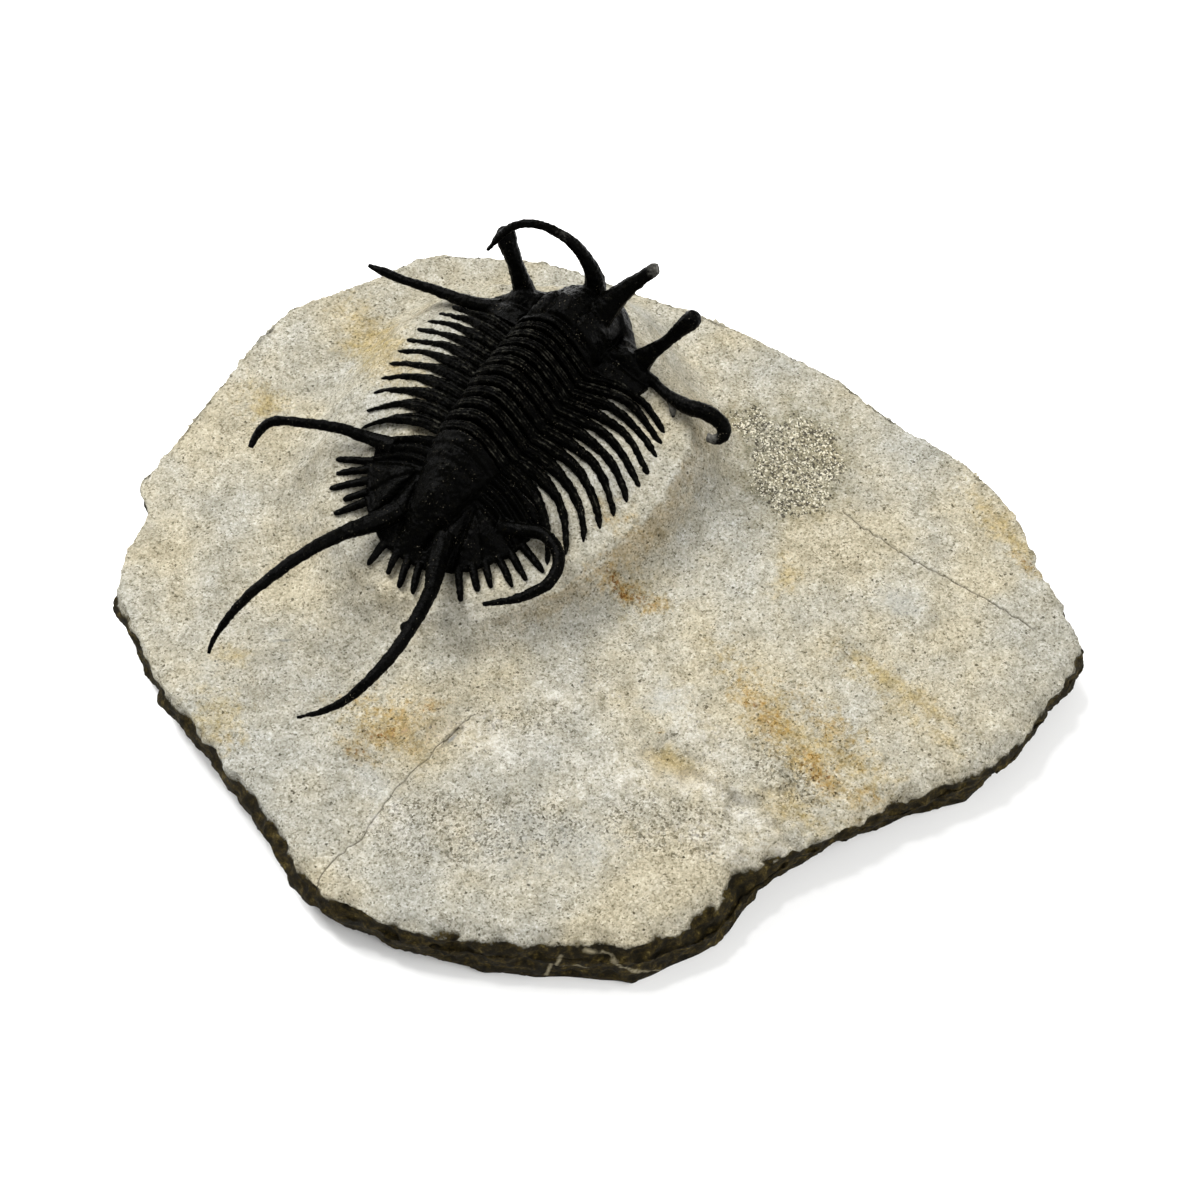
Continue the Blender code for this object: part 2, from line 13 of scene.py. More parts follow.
import bpy
import numpy as np
from mathutils import Euler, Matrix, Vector


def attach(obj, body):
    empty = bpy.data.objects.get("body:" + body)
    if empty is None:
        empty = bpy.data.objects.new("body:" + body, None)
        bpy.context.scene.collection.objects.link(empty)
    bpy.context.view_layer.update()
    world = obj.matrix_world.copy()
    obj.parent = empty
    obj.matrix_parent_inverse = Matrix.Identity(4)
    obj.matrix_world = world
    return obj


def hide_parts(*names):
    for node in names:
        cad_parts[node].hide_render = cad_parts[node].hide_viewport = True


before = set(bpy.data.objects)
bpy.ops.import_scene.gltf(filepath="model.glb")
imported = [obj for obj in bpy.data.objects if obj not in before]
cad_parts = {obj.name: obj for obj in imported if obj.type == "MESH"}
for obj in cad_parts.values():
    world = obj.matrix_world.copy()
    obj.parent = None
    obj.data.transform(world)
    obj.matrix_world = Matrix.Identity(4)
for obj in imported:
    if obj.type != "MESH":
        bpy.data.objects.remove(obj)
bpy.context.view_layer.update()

MM = 0.001

# %% [markdown]
# ## A few hand tools
#
# Most steps below are a person's moves at the bench of Blender: pick one piece, change to edit mode, push
# points, add a modifier and apply it. These helpers keep each of those moves to one line. Lengths are in
# millimetres in this lesson, and MM turns them into Blender's metres at the last moment.

# %% Pick, push and finish
def select_only(*pieces):
    """Makes these pieces the whole selection, with the first one active."""
    bpy.ops.object.select_all(action="DESELECT")
    for piece in pieces:
        piece.select_set(True)
    bpy.context.view_layer.objects.active = pieces[0]


def edit_all(piece):
    """Opens the piece in edit mode, with all of it selected."""
    select_only(piece)
    bpy.ops.object.mode_set(mode="EDIT")
    bpy.ops.mesh.select_all(action="SELECT")


def rows_of(parts, name):
    """One row of three numbers for each point or face of a mesh."""
    flat = np.empty(len(parts) * 3, np.float32)
    parts.foreach_get(name, flat)
    return flat.reshape(-1, 3).astype(float)


def points_of(piece):
    """The piece's points in millimetres, one row each."""
    return rows_of(piece.data.vertices, "co") / MM


def put_points(piece, points):
    """Moves the piece's points to these places in millimetres."""
    piece.data.vertices.foreach_set("co", (points * MM).astype(np.float32).ravel())
    piece.data.update()


def finish_with(piece, kind, **settings):
    """Adds one modifier with its settings and applies it."""
    select_only(piece)
    modifier = piece.modifiers.new(kind.title(), kind)
    for name, value in settings.items():
        setattr(modifier, name, value)
    bpy.ops.object.modifier_apply(modifier=modifier.name)


def weigh(piece, name, weights, levels=24):
    """Stores how strongly each point takes part in a later step, as a vertex group."""
    group = piece.vertex_groups.new(name=name)
    steps = np.rint(np.clip(weights, 0.0, 1.0) * levels)
    for level in range(1, levels + 1):
        group.add(np.flatnonzero(steps == level).tolist(), level / levels, "REPLACE")


def mark(piece, name, values):
    """Stores a value from 0 to 1 at each point, which a material can read."""
    attribute = piece.data.attributes.new(name, "FLOAT", "POINT")
    attribute.data.foreach_set("value", np.clip(values, 0.0, 1.0).astype(np.float32))


def roughen(piece, size, strength, depth=2, group=""):
    """Pushes the surface in and out by lumps of one size, broken up depth times; depth 0 gives facets."""
    texture = bpy.data.textures.new(f"{piece.name} lumps {size}", "CLOUDS" if depth else "VORONOI")
    texture.noise_scale = size * MM
    if depth:
        texture.noise_depth = depth
    finish_with(piece, "DISPLACE", texture=texture, texture_coords="LOCAL", direction="NORMAL",
                strength=strength * MM, mid_level=0.5, vertex_group=group)


def smoothly(value, start, end):
    """Rises from 0 at start to 1 at end, with no corner at either."""
    share = np.clip((value - start) / (end - start), 0.0, 1.0)
    return share * share * (3 - 2 * share)


# %% [markdown]
# ## Lines on a surface
#
# Cracks, furrows and the outlines of slab and mound are all lines, and what matters about a point is how far
# it lies from the line. A smooth curve through a few given points is the oldest trick of a
# draughtsman, and the same one serves for the long spines later.

# %% Curves through points, and distances from them
def between(corners, t):
    """The point a share t of the way from the second to the third of four, on a smooth curve."""
    weights = (
        (-t + 2 * t ** 2 - t ** 3) / 2,
        (2 - 5 * t ** 2 + 3 * t ** 3) / 2,
        (t + 4 * t ** 2 - 3 * t ** 3) / 2,
        (-t ** 2 + t ** 3) / 2,
    )
    return [sum(weight * value for weight, value in zip(weights, values)) for values in zip(*corners)]


def curve_through(points, steps, closed=False):
    """Points along a smooth curve through the given ones, steps of them for each span."""
    count = len(points)
    found = []
    for span in range(count if closed else count - 1):
        numbers = [span + shift for shift in (-1, 0, 1, 2)]
        corners = [points[number % count if closed else min(max(number, 0), count - 1)] for number in numbers]
        found += [between(corners, step / steps) for step in range(steps)]
    return np.array(found if closed else found + [list(points[-1])])


def distance_to_path(places, path):
    """How far each place (x, y) lies from a line of points."""
    nearest = np.full(len(places), 1e9)
    for start, end in zip(path[:-1], path[1:]):
        along = end - start
        share = np.clip((places - start) @ along / max(along @ along, 1e-12), 0.0, 1.0)
        gap = places - start - share[:, None] * along
        nearest = np.minimum(nearest, np.hypot(gap[:, 0], gap[:, 1]))
    return nearest


def depth_inside(places, outline):
    """Distance from a closed outline, positive inside it and negative outside."""
    path = np.vstack([outline, outline[:1]])
    inside = np.zeros(len(places), bool)
    x, y = places[:, 0], places[:, 1]
    for (x0, y0), (x1, y1) in zip(path[:-1], path[1:]):
        spans = (y0 > y) != (y1 > y)
        inside ^= spans & (x < (x1 - x0) * (y - y0) / (y1 - y0 + 1e-12) + x0)
    return np.where(inside, 1.0, -1.0) * distance_to_path(places, path)


def near(distance, width):
    """1 on the line, fading out over about the given width."""
    return np.exp(-(distance / width) ** 2)


# %% [markdown]
# ## The animal's own frame
#
# The animal lies askew on the slab, so it gets a frame of its own: x to its right, y towards its head, z up
# from its back. The tables say how its back changes from tail to head, and they are the same sizes as in the
# solids.

# %% Sizes of the animal
ANIMAL_PLACE = (-9.9, 19.2, 15.5)
ANIMAL_TURN = (5.0, -1.5, -36.0)
turned = np.array(Euler([math.radians(angle) for angle in ANIMAL_TURN]).to_matrix())

AXIS_HALF_WIDTH = (
    (-24, 1.4), (-19, 2.5), (-14, 4), (-9, 5.1), (0, 5.8), (8, 5.8), (13, 5.6), (17, 4.6), (20, 3),
)
CREST_HEIGHT = (
    (-24.2, 0.9), (-22, 2.4), (-19, 4.1), (-14, 6.8), (-9, 8.7), (0, 10.2), (8, 10.7), (13, 10.2), (16, 8.4),
    (18.5, 5.4), (20, 1.4),
)
FURROW_HEIGHT = (
    (-24.2, 0.9), (-19, 2.6), (-14, 4), (-9, 5), (0, 5.6), (8, 5.6), (13, 4.8), (17, 3.2), (20, 1.2),
)
EDGE_HALF_WIDTH = (
    (-24.2, 1), (-23.6, 4), (-21.6, 7.4), (-18, 10.2), (-14, 11.6), (-9.5, 11.4), (0, 11.2), (8, 11.4),
    (10.5, 12.8), (12.5, 12.2), (14.5, 9.6), (17, 6), (19, 3), (20, 0.8),
)
EDGE_HEIGHT = (
    (-24.2, 0.8), (-18, 1), (-12, 1.8), (-8, 3), (0, 3.6), (6, 3.4), (9.5, 2), (14, 1.2), (20, 0.9),
)
TIP_HEIGHT = 0.5
SPINE_FALL = 0.42
SHELL_THICKNESS = 0.9
SPINE_THICKNESS = 0.3


def along(table, place):
    """The value of a table at a place along the animal."""
    return np.interp(place, [row[0] for row in table], [row[1] for row in table])


def back_height(x, y):
    """Height of the back without its ridges: a vaulted axis, falling flanks, then the spines."""
    side = np.abs(x)
    axis = along(AXIS_HALF_WIDTH, y)
    crest = along(CREST_HEIGHT, y)
    furrow = along(FURROW_HEIGHT, y)
    edge = np.maximum(along(EDGE_HALF_WIDTH, y), axis + 0.5)
    edge_height = along(EDGE_HEIGHT, y)
    vault = furrow + (crest - furrow) * np.cos(np.pi / 2 * np.minimum(side / axis, 1.0)) ** 0.75
    flank = furrow + (edge_height - furrow) * np.clip((side - axis) / (edge - axis), 0.0, 1.0) ** 1.5
    spines = np.maximum(edge_height - SPINE_FALL * (side - edge), TIP_HEIGHT)
    return np.where(side < axis, vault, np.where(side < edge, flank, spines))


def under_height(x, y):
    """Height of the shell's underside, thicker under the crest and thinner out along the spines."""
    side = np.abs(x)
    axis = along(AXIS_HALF_WIDTH, y)
    edge = along(EDGE_HALF_WIDTH, y)
    back = back_height(x, y)
    furrow = along(FURROW_HEIGHT, y)
    core = furrow + 0.45 * (back - furrow) - SHELL_THICKNESS
    thinning = np.clip((side - edge) / 4.0, 0.0, 1.0)
    thinned = back - SHELL_THICKNESS + (SHELL_THICKNESS - SPINE_THICKNESS) * thinning
    return np.where(side < axis, core, thinned)


def arch_forward(x, y):
    """How far the middle of a ring lies in front of its two ends."""
    return 0.7 * np.cos(np.pi / 2 * np.minimum(np.abs(x) / along(AXIS_HALF_WIDTH, y), 1.0))


def to_slab(points):
    """From the animal's frame to the slab's."""
    return points @ turned.T + ANIMAL_PLACE


def to_animal(points):
    """From the slab's frame to the animal's."""
    return (points - ANIMAL_PLACE) @ turned


# %% [markdown]
# ## The rock: from a coarse solid to stone
#
# The slab is fine sandy limestone, split along its bed and left broken all round. Its solid has the right
# outline and the right mound, so nothing is gained by drawing it again. A voxel remesh wraps that solid in
# an even net of small quads, which is what a stone needs: detail may come anywhere on it. The net rounds the
# lower edge, so its last 0.3 mm is cut away flat, and the rest is set down again.

# %% Wrap the slab in a fine net
ROCK_NET = 0.405
FOOT_CUT = 0.3

rock = bpy.data.objects.new("limestone_rock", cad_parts["matrix_slab"].data.copy())
bpy.context.scene.collection.objects.link(rock)
rock.data.materials.clear()
edit_all(rock)
bpy.ops.mesh.remove_doubles(threshold=0.001 * MM)
bpy.ops.object.mode_set(mode="OBJECT")
rock.data.remesh_voxel_size = ROCK_NET * MM
bpy.ops.object.voxel_remesh()
finish_with(rock, "SMOOTH", factor=0.5, iterations=6)

edit_all(rock)
bpy.ops.mesh.bisect(plane_co=(0, 0, FOOT_CUT * MM), plane_no=(0, 0, 1), use_fill=True, clear_inner=True)
bpy.ops.transform.translate(value=(0, 0, -FOOT_CUT * MM))
bpy.ops.object.mode_set(mode="OBJECT")
print("rock net:", len(rock.data.polygons), "faces, size", list(rock.dimensions))

# %% [markdown]
# ## The mound's outline
#
# The mound under the animal was left standing when the top was cleared, because it carries the shell. Its
# edge is a closed curve through points in the animal's own frame, so how far inside it any point of the rock
# lies can be worked out.

# %% Draw the mound's outline
SLAB_TOP = 9.5
MOUND_EDGE = (
    (0, 20), (7, 17.2), (11.5, 14.6), (14.5, 13.2), (17.2, 11.6), (19.2, 8.4), (20.3, 5), (20.9, 1),
    (20.6, -3), (19.6, -8.5), (18, -14), (15.6, -18.9), (12, -23), (7.5, -26), (2.8, -27.8), (-2.5, -27.9),
    (-7.5, -26.1), (-12.2, -23.6), (-15.3, -20.4), (-17.4, -17), (-18.6, -12), (-19.6, -5), (-19.9, 0),
    (-19, 5), (-17.6, 9), (-14.5, 12.5), (-8, 16.8),
)
MOUND_FOOT_REACH = 5.5
mound_outline = curve_through(MOUND_EDGE, 3, closed=True)

# %% [markdown]
# ## Matrix up to the shell
#
# On the real piece the stone still reaches up between the ribs, and the spines are bedded in it. A boolean
# would cut the rock far too sharply there. Instead its points are lifted to the height of the shell's
# underside, as far out as the mound's edge, from where the flank falls to the slab, and a smoothing pass
# rounds the brow between the two. Under the body, where nothing shows, the rock stays lower and can't poke
# through.

# %% Let the matrix rise to the shell, between its spines
# Millimetres: gap under the shell, sink of the spines, hollow under the body, height and run of the flank,
# and the height in the animal's frame above which points are lifted
SEAT_GAP = 0.1
SPINE_SINK = 0.3
UNDERCUT = 0.9
BROW_HEIGHT = 0.0
FLANK_RUN = 6.5
LIFTED_FROM = -4.5

places = points_of(rock)
local = to_animal(places)
inside_mound = depth_inside(local[:, :2], mound_outline)
beyond_edge = np.abs(local[:, 0]) - along(EDGE_HALF_WIDTH, local[:, 1])
seat = under_height(local[:, 0], local[:, 1]) - SEAT_GAP + SPINE_SINK * smoothly(beyond_edge, -0.5, 1.0)
seat -= UNDERCUT * (1 - smoothly(beyond_edge, -3.5, -1.5))
lift = np.maximum(seat - local[:, 2], 0.0) * smoothly(inside_mound, -0.2, 0.9) * (local[:, 2] > LIFTED_FROM)
local[:, 2] += lift
places = to_slab(local)

brow = to_slab(np.column_stack([local[:, :2], np.full(len(local), BROW_HEIGHT)]))[:, 2]
falling = 1 - smoothly(-inside_mound, 0.0, FLANK_RUN)
slope = SLAB_TOP + (brow - SLAB_TOP) * falling ** 1.4
outside = (inside_mound < 0.3) & (places[:, 2] > SLAB_TOP - 1.5)
places[:, 2] = np.where(outside, np.maximum(places[:, 2], np.minimum(slope, brow)), places[:, 2])
put_points(rock, places)
brow_zone = smoothly(inside_mound, -FLANK_RUN, -FLANK_RUN + 1.5) * (1 - smoothly(inside_mound, 0.8, 2.6))
weigh(rock, "brow zone", brow_zone * (places[:, 2] > SLAB_TOP - 1.0))
finish_with(rock, "SMOOTH", factor=0.5, iterations=70, vertex_group="brow zone")
print("matrix raised by up to", round(float(lift.max()), 2), "mm")

# %% [markdown]
# ## A broken rim
#
# Stone doesn't break to an upright wall: its foot stands out past its rim, and chips have sprung off the
# upper edge. Both sizes change on the way round, so a table gives them for each direction from the slab's
# middle, and the points are pushed out and down by them. A light smoothing takes the points off the new
# edge.

# %% Spread the foot and chip the rim along the front
# Direction in degrees, how far the foot stands out there, and how deep the rim is chipped
BROKEN_EDGE = (
    (-180, 0.9, 0.3), (-170, 1.2, 0.5), (-160, 1.2, 0.5), (-150, 1.8, 0.4), (-140, 2.3, 0.5),
    (-130, 2.1, 0.6), (-120, 1.4, 0.9), (-110, 1.4, 1.4), (-100, 1.2, 0.9), (-90, 1.7, 1.2), (-80, 1.4, 1.2),
    (-70, 2, 2), (-60, 1.4, 1.2), (-50, 1, 0.8), (-40, 1.5, 1.4), (-30, 0.9, 1.4), (-20, 1.1, 1.2),
    (-10, 0.9, 1), (0, 0.2, 0.4), (20, 0, 0), (160, 0.3, 0), (180, 0.9, 0.3),
)
SECTORS = 180

sector = 360.0 / SECTORS
places = points_of(rock)
bearing = np.degrees(np.arctan2(places[:, 1], places[:, 0]))
reach = np.hypot(places[:, 0], places[:, 1])
outward = places[:, :2] / np.maximum(reach, 1e-6)[:, None]
upper = (places[:, 2] > SLAB_TOP - 1.0) & (reach > 30.0)
steps = np.clip(((bearing + 180.0) / sector).astype(int), 0, SECTORS - 1)
rim_reach = np.zeros(SECTORS)
np.maximum.at(rim_reach, steps[upper], reach[upper])
middles = np.arange(SECTORS) * sector - 180.0 + sector / 2
to_rim = np.interp(bearing, middles, rim_reach, period=360.0) - reach
directions, pushes, chips = zip(*BROKEN_EDGE)
foot_push = np.interp(bearing, directions, pushes)
chipped = np.interp(bearing, directions, chips)
places[:, :2] += outward * (foot_push * smoothly(SLAB_TOP - places[:, 2], 0.4, 3.6) * (reach > 20.0))[:, None]
chip = chipped * (1 - smoothly(to_rim, 0.0, 1.9 * chipped + 0.01)) * (places[:, 2] > SLAB_TOP - 3.0)
places[:, 2] -= chip * (1 + 0.35 * np.sin(bearing * 0.9) + 0.25 * np.sin(bearing * 2.3 + 1.0))
put_points(rock, places)
rim_zone = smoothly(chipped, 0.0, 0.5) * (1 - smoothly(np.abs(to_rim), 1.5, 4.0))
weigh(rock, "rim zone", rim_zone * (places[:, 2] > 4.0))
finish_with(rock, "SMOOTH", factor=0.5, iterations=10, vertex_group="rim zone")
print("rim chipped by up to", round(float(chip.max()), 2), "mm")

# %% [markdown]
# ## Lumps of several sizes
#
# Broken stone is rough at several sizes at once, and each zone of this one differs. The wall is coarse and
# faceted, the mound's flank is lumpy from the tool, and the top, which was blasted with fine grit, is only
# sandy. Each zone is found from the way a point faces, its height and its distance from the mound, and is
# kept as a vertex group. Displace modifiers then push each zone by its own lumps. The underside takes no
# part and stays flat.

# %% Weigh the zones and break the surface
# Each pass: its zone, the size and height of its lumps in millimetres, how often they are broken up or 0
LUMPS = (
    ("wall", 5.0, 1.8, 2), ("wall", 2.2, 0.9, 0), ("wall", 0.9, 0.5, 2), ("top", 14.0, 0.5, 2),
    ("top", 4.0, 0.3, 2), ("top", 1.3, 0.2, 3), ("flank", 4.0, 1.1, 2), ("flank", 1.1, 0.35, 2),
    ("plateau", 2.0, 0.4, 2), ("plateau", 0.7, 0.3, 2),
)

places = points_of(rock)
facing = rows_of(rock.data.vertices, "normal")
inside_mound = depth_inside(to_animal(places)[:, :2], mound_outline)
on_mound = smoothly(inside_mound, -MOUND_FOOT_REACH, -MOUND_FOOT_REACH + 2.0)
on_mound *= places[:, 2] > SLAB_TOP - 1.2
plateau = smoothly(inside_mound, -0.4, 0.8) * (places[:, 2] > SLAB_TOP)
wall = smoothly(-facing[:, 2], -0.8, -0.45) * (1 - on_mound) * (places[:, 2] < SLAB_TOP + 0.4)
off_foot = smoothly(places[:, 2], 0.0, 1.2)
zones = {"wall": wall * off_foot, "flank": on_mound * (1 - plateau), "plateau": plateau,
         "top": (1 - wall) * (1 - on_mound) * off_foot}
for zone, weights in zones.items():
    weigh(rock, zone + " zone", weights)
for zone, size, strength, depth in LUMPS:
    roughen(rock, size, strength, depth, zone + " zone")
places = points_of(rock)
places[:, 2] = np.maximum(places[:, 2], 0.0)
put_points(rock, places)
print("rock size after breaking:", [round(side / MM, 2) for side in rock.dimensions])

# %% [markdown]
# ## Cracks
#
# Two thin cracks run in from the edge. A crack is far finer than the net, so the faces along it are
# subdivided first, and only then pressed in. Its route is a listed line that gets small seeded kinks,
# as breaks have.

# %% Press the cracks in
CRACKS = {
    "right": ((30.7, 9.2), (33.3, 6.8), (37, 3.7), (39.2, 2.1), (43.1, -0.5), (47.5, -3.3), (50.9, -6),
        (53.5, -7.6)),
    "left": ((-14.7, -19.3), (-17.6, -22), (-22.9, -27.9), (-25.9, -32.2), (-27.5, -35.3), (-30.6, -38),
        (-32.8, -41.4)),
}
CRACK_DEPTH = {"right": 0.24, "left": 0.16}
CRACK_WIDTH = 0.09
KINK = 0.22
CRACK_REACH = 0.6

rng = random.Random(7)
crack_paths = {}
for name, route in CRACKS.items():
    path = curve_through(route, 6)
    for point in path[1:-1]:
        point += [rng.uniform(-KINK, KINK), rng.uniform(-KINK, KINK)]
    crack_paths[name] = path

centres = rows_of(rock.data.polygons, "center") / MM
chosen = np.zeros(len(centres), bool)
for path in crack_paths.values():
    chosen |= (distance_to_path(centres[:, :2], path) < CRACK_REACH) & (centres[:, 2] > SLAB_TOP - 2.0)
edit_all(rock)
bpy.ops.mesh.select_all(action="DESELECT")
bpy.ops.object.mode_set(mode="OBJECT")
rock.data.polygons.foreach_set("select", chosen)
bpy.ops.object.mode_set(mode="EDIT")
bpy.ops.mesh.select_mode(type="FACE")
bpy.ops.mesh.subdivide(number_cuts=3)
bpy.ops.object.mode_set(mode="OBJECT")

places = points_of(rock)
crack_mark = np.zeros(len(places))
for name, path in crack_paths.items():
    groove = near(distance_to_path(places[:, :2], path), CRACK_WIDTH) * (places[:, 2] > SLAB_TOP - 2.0)
    places[:, 2] -= CRACK_DEPTH[name] * groove
    crack_mark = np.maximum(crack_mark, groove)
put_points(rock, places)
mark(rock, "crack", crack_mark)
print("rock now has", len(rock.data.polygons), "faces")

# %% [markdown]
# ## Flakes off the top
#
# Thin flakes have split off along the bed and left shallow ledges with a soft step. The outline of each is
# an oval whose edge sways a little, which reads as a break where a plain ellipse would read as a stamp. The
# points inside it are pressed down by the flake's depth.

# %% Press the flakes in
# Each flake: x, y, half length, half width, turn in degrees, depth in millimetres
FLAKES = (
    (18.8, -33.4, 6.6, 2.2, -52, 0.8), (14, -29.2, 5, 1.5, -30, 0.55), (8.8, -25.4, 4.4, 2.8, -25, 0.55),
    (-17.4, -22.4, 2.1, 0.55, 48, 0.4), (36.4, -30.8, 1.9, 1.3, -30, 0.8), (23.8, -31.4, 4.8, 2.8, -30, 0.6),
    (-3, -19.5, 5, 1, -25, 0.25), (28, -24, 7, 1, -42, 0.25),
)
# Height and the two frequencies of the waves that make the edges ragged
RAGGED_WAVES = ((0.10, 0.8, 0.5), (0.08, 1.9, -0.7), (0.05, 2.3, 3.7))


def oval(places, x, y, length, width, turn, strength):
    """A soft cloud in an oval, with a swaying edge."""
    angle = math.radians(turn)
    sway = min(0.14 * width, 0.45)
    over_x, over_y = places[:, 0], places[:, 1]
    dx = over_x - x + sway * (np.sin(1.1 * over_y + x) + 0.6 * np.sin(2.7 * over_y + 2.0 * y))
    dy = over_y - y + sway * (np.sin(1.3 * over_x + y) + 0.6 * np.sin(2.3 * over_x + 2.0 * x))
    lengthwise = (dx * math.cos(angle) + dy * math.sin(angle)) / length
    crosswise = (dy * math.cos(angle) - dx * math.sin(angle)) / width
    return strength * np.exp(-(lengthwise ** 2 + crosswise ** 2))


places = points_of(rock)
unbroken = places[:, 2].copy()
ragged = sum(height * np.sin(along_x * places[:, 0] + along_y * places[:, 1])
             for height, along_x, along_y in RAGGED_WAVES)
for *shape, depth in FLAKES:
    flake = oval(places, *shape, 1.0) + ragged
    places[:, 2] -= depth * smoothly(flake, 0.40, 0.56) * (unbroken > SLAB_TOP - 1.5)
put_points(rock, places)
print("flakes pressed:", len(FLAKES), "down to", round(float((unbroken - places[:, 2]).max()), 2), "mm")

# %% [markdown]
# ## Marks in the stone
#
# Iron has stained the stone in soft rusty clouds, a dark coarse patch lies beside the head, and pale bruises
# and one grey scratch show where a tool touched. Each mark is only colour and raises nothing: it is a soft
# oval at a real place on the slab, kept as a value at the points, and the material gives it its grain and
# its ragged edge.

# %% Ovals of colour on the slab
# Each oval: x, y, half length, half width, turn in degrees, strength
MARKS = {
    "rust": ((-26, -21.8, 4.2, 1.8, 15, 0.9), (-28.5, -24.2, 3, 1.6, -40, 0.85),
        (-24, -20, 8, 4.6, -20, 0.6), (-20.5, -18.6, 4, 1.4, 20, 0.75), (3.6, -3, 4.4, 1.7, -15, 1),
        (7, -4.6, 2.6, 1.4, 10, 0.85), (2, 4.5, 4, 3, 0, 0.6), (20, -19, 7.5, 3.4, -62, 0.75),
        (26, -26.6, 7, 2.6, -45, 0.85), (31.5, -30.2, 4, 2, -30, 0.7), (27.5, -20.5, 9, 2.6, -48, 0.65),
        (53, 1.5, 2.6, 1.2, -45, 0.9), (-44, -22.5, 3, 2, -40, 0.45), (7.6, -21.5, 0.7, 0.5, 0, 1)),
    "ochre": ((36, -15.2, 10, 1.7, -38, 0.95), (50.5, 6.5, 8.5, 2.4, -55, 0.9),
        (23.1, -0.8, 3.6, 2, 75, 0.8), (-29, 33, 10, 4, -65, 1), (-43, 25.5, 4.5, 3, -40, 0.9),
        (-44, -11.2, 3, 1.8, 0, 0.8), (-45.5, -20, 5, 4, -50, 0.9), (-24, 25, 9, 4, -60, 0.6),
        (23.4, -31.8, 5.4, 3.4, -30, 0.8), (16, -12, 8, 3, -60, 0.45), (29, -25, 9, 5, -45, 0.8),
        (8.6, -25.6, 4, 2.6, -20, 1), (24, -23, 12, 4, -50, 0.9), (4, -3, 6, 4, -15, 0.55),
        (-25, -21, 8, 4.6, -30, 0.8), (36, -18, 14, 1.4, -40, 0.7)),
    "flecks": ((-14, -34, 20, 7, 0, 1.4), (8, -34, 12, 6, -10, 1.4), (22, -27, 10, 5, -40, 1.2),
        (-28, -20, 11, 7, -30, 0.9), (-8, -20, 12, 5, 0, 1.1), (30, 2, 18, 10, -30, 0.9)),
    "dark": ((25, 15.8, 8.8, 7, 75, 1.7), (20.2, 21.8, 5, 3.6, -40, 1.3), (8.6, -25.6, 4.4, 2.8, -20, 0.6),
        (-1.5, -11.2, 2.4, 2.2, 0, 0.45), (23.4, -31.8, 3.8, 2, -30, 0.5)),
    "cool": ((8.6, -17.3, 4, 3.4, 0, 0.8), (37, -3.6, 5, 3, 0, 0.7), (-46.3, -12.6, 3, 3, 0, 0.6),
        (-26.3, -28.6, 5, 3, -50, 0.7), (-6, -36, 16, 6, 5, 0.7)),
    "slate": ((-38.3, -9.3, 2.6, 0.28, 0, 1), (-17.4, -22.4, 2, 0.35, 48, 0.8),
        (-20.3, -12.3, 0.4, 0.3, 0, 1), (-1.9, -14.9, 0.5, 0.3, 20, 1)),
    "pale": ((21.3, -36.7, 1.8, 1.1, -40, 1), (17, -31.6, 7.5, 2.2, -50, 0.8),
        (11, -28.2, 6.5, 2.2, -25, 0.8), (-4, -16.5, 8, 3, -10, 0.6), (-12, -23, 9, 4, -10, 0.7),
        (3, -27, 8, 4, -10, 0.7), (12.5, -21.5, 7, 3.4, -55, 0.6), (-25, -33, 6, 3, -40, 0.6),
        (14, -36.5, 7, 3, -30, 0.6)),
}
for name, ovals in MARKS.items():
    mark(rock, name, np.max([oval(places, *values) for values in ovals], axis=0))
print("marks painted:", ", ".join(MARKS))

# %% [markdown]
# ## Crust, veins, dust and painted shade
#
# The broken wall keeps its natural crust, thinner at the front right, with a few thin pale veins in it.
# The mound's flank is browner on the side away from the light: partly dust that has stayed there, and
# partly painted shade. Such things follow the shape of the rock, so they are worked out from where a point
# lies and the way it faces, and are kept as marks too.

# %% Mark the wall, its veins, and the flank's dust and painted shade
# Each vein on the front wall: x and height of its points
VEINS = (
    ((-6, 0.6), (-5.4, 3.6), (-4.2, 6.6)), ((-2.4, 8), (1.5, 6.2), (4.6, 3.2), (7.2, 1)),
    ((-5.2, 4.4), (-1, 4)),
)

local = to_animal(places)
inside_mound = depth_inside(local[:, :2], mound_outline)
facing = rows_of(rock.data.vertices, "normal")
above = places[:, 2] > SLAB_TOP - 1.2
on_mound = smoothly(inside_mound, -MOUND_FOOT_REACH, -1.0) * above
plateau = smoothly(inside_mound, -1.0, 0.6) * above
edge_wall = smoothly(SLAB_TOP - unbroken, 0.1, 3.0) * (inside_mound < -MOUND_FOOT_REACH)
edge_wall *= 1 - 0.4 * near(np.degrees(np.arctan2(places[:, 1], places[:, 0])) + 22.0, 26.0)
mark(rock, "wall", edge_wall)
upright = np.column_stack([places[:, 0], places[:, 2]])
veins = np.max([near(distance_to_path(upright, curve_through(route, 4)), 0.3) for route in VEINS], axis=0)
mark(rock, "vein", veins * (places[:, 1] < -40.0))
# Brown on the flank that faces away from the key light: partly dust, partly painted shade
shaded_side = smoothly(places[:, 0] - places[:, 1], -14.0, 6.0)
mark(rock, "dirt_and_shade", on_mound * (1 - plateau) * smoothly(-facing[:, 2], -1.0, -0.7) * shaded_side)
print("share of the points on the wall:", round(float((edge_wall > 0.5).mean()), 2))

# %% [markdown]
# ## The thorax: eleven rings
#
# Each ring of the thorax is one piece of shell: a vaulted ring over the axis, a flat ridged rib on each
# side, and a spine that curves back from the rib's end. A ball pulled out sideways has just that build,
# closed at both tips with its poles, so each ring starts as a UV sphere whose points are then laid along the
# ring's own measures.

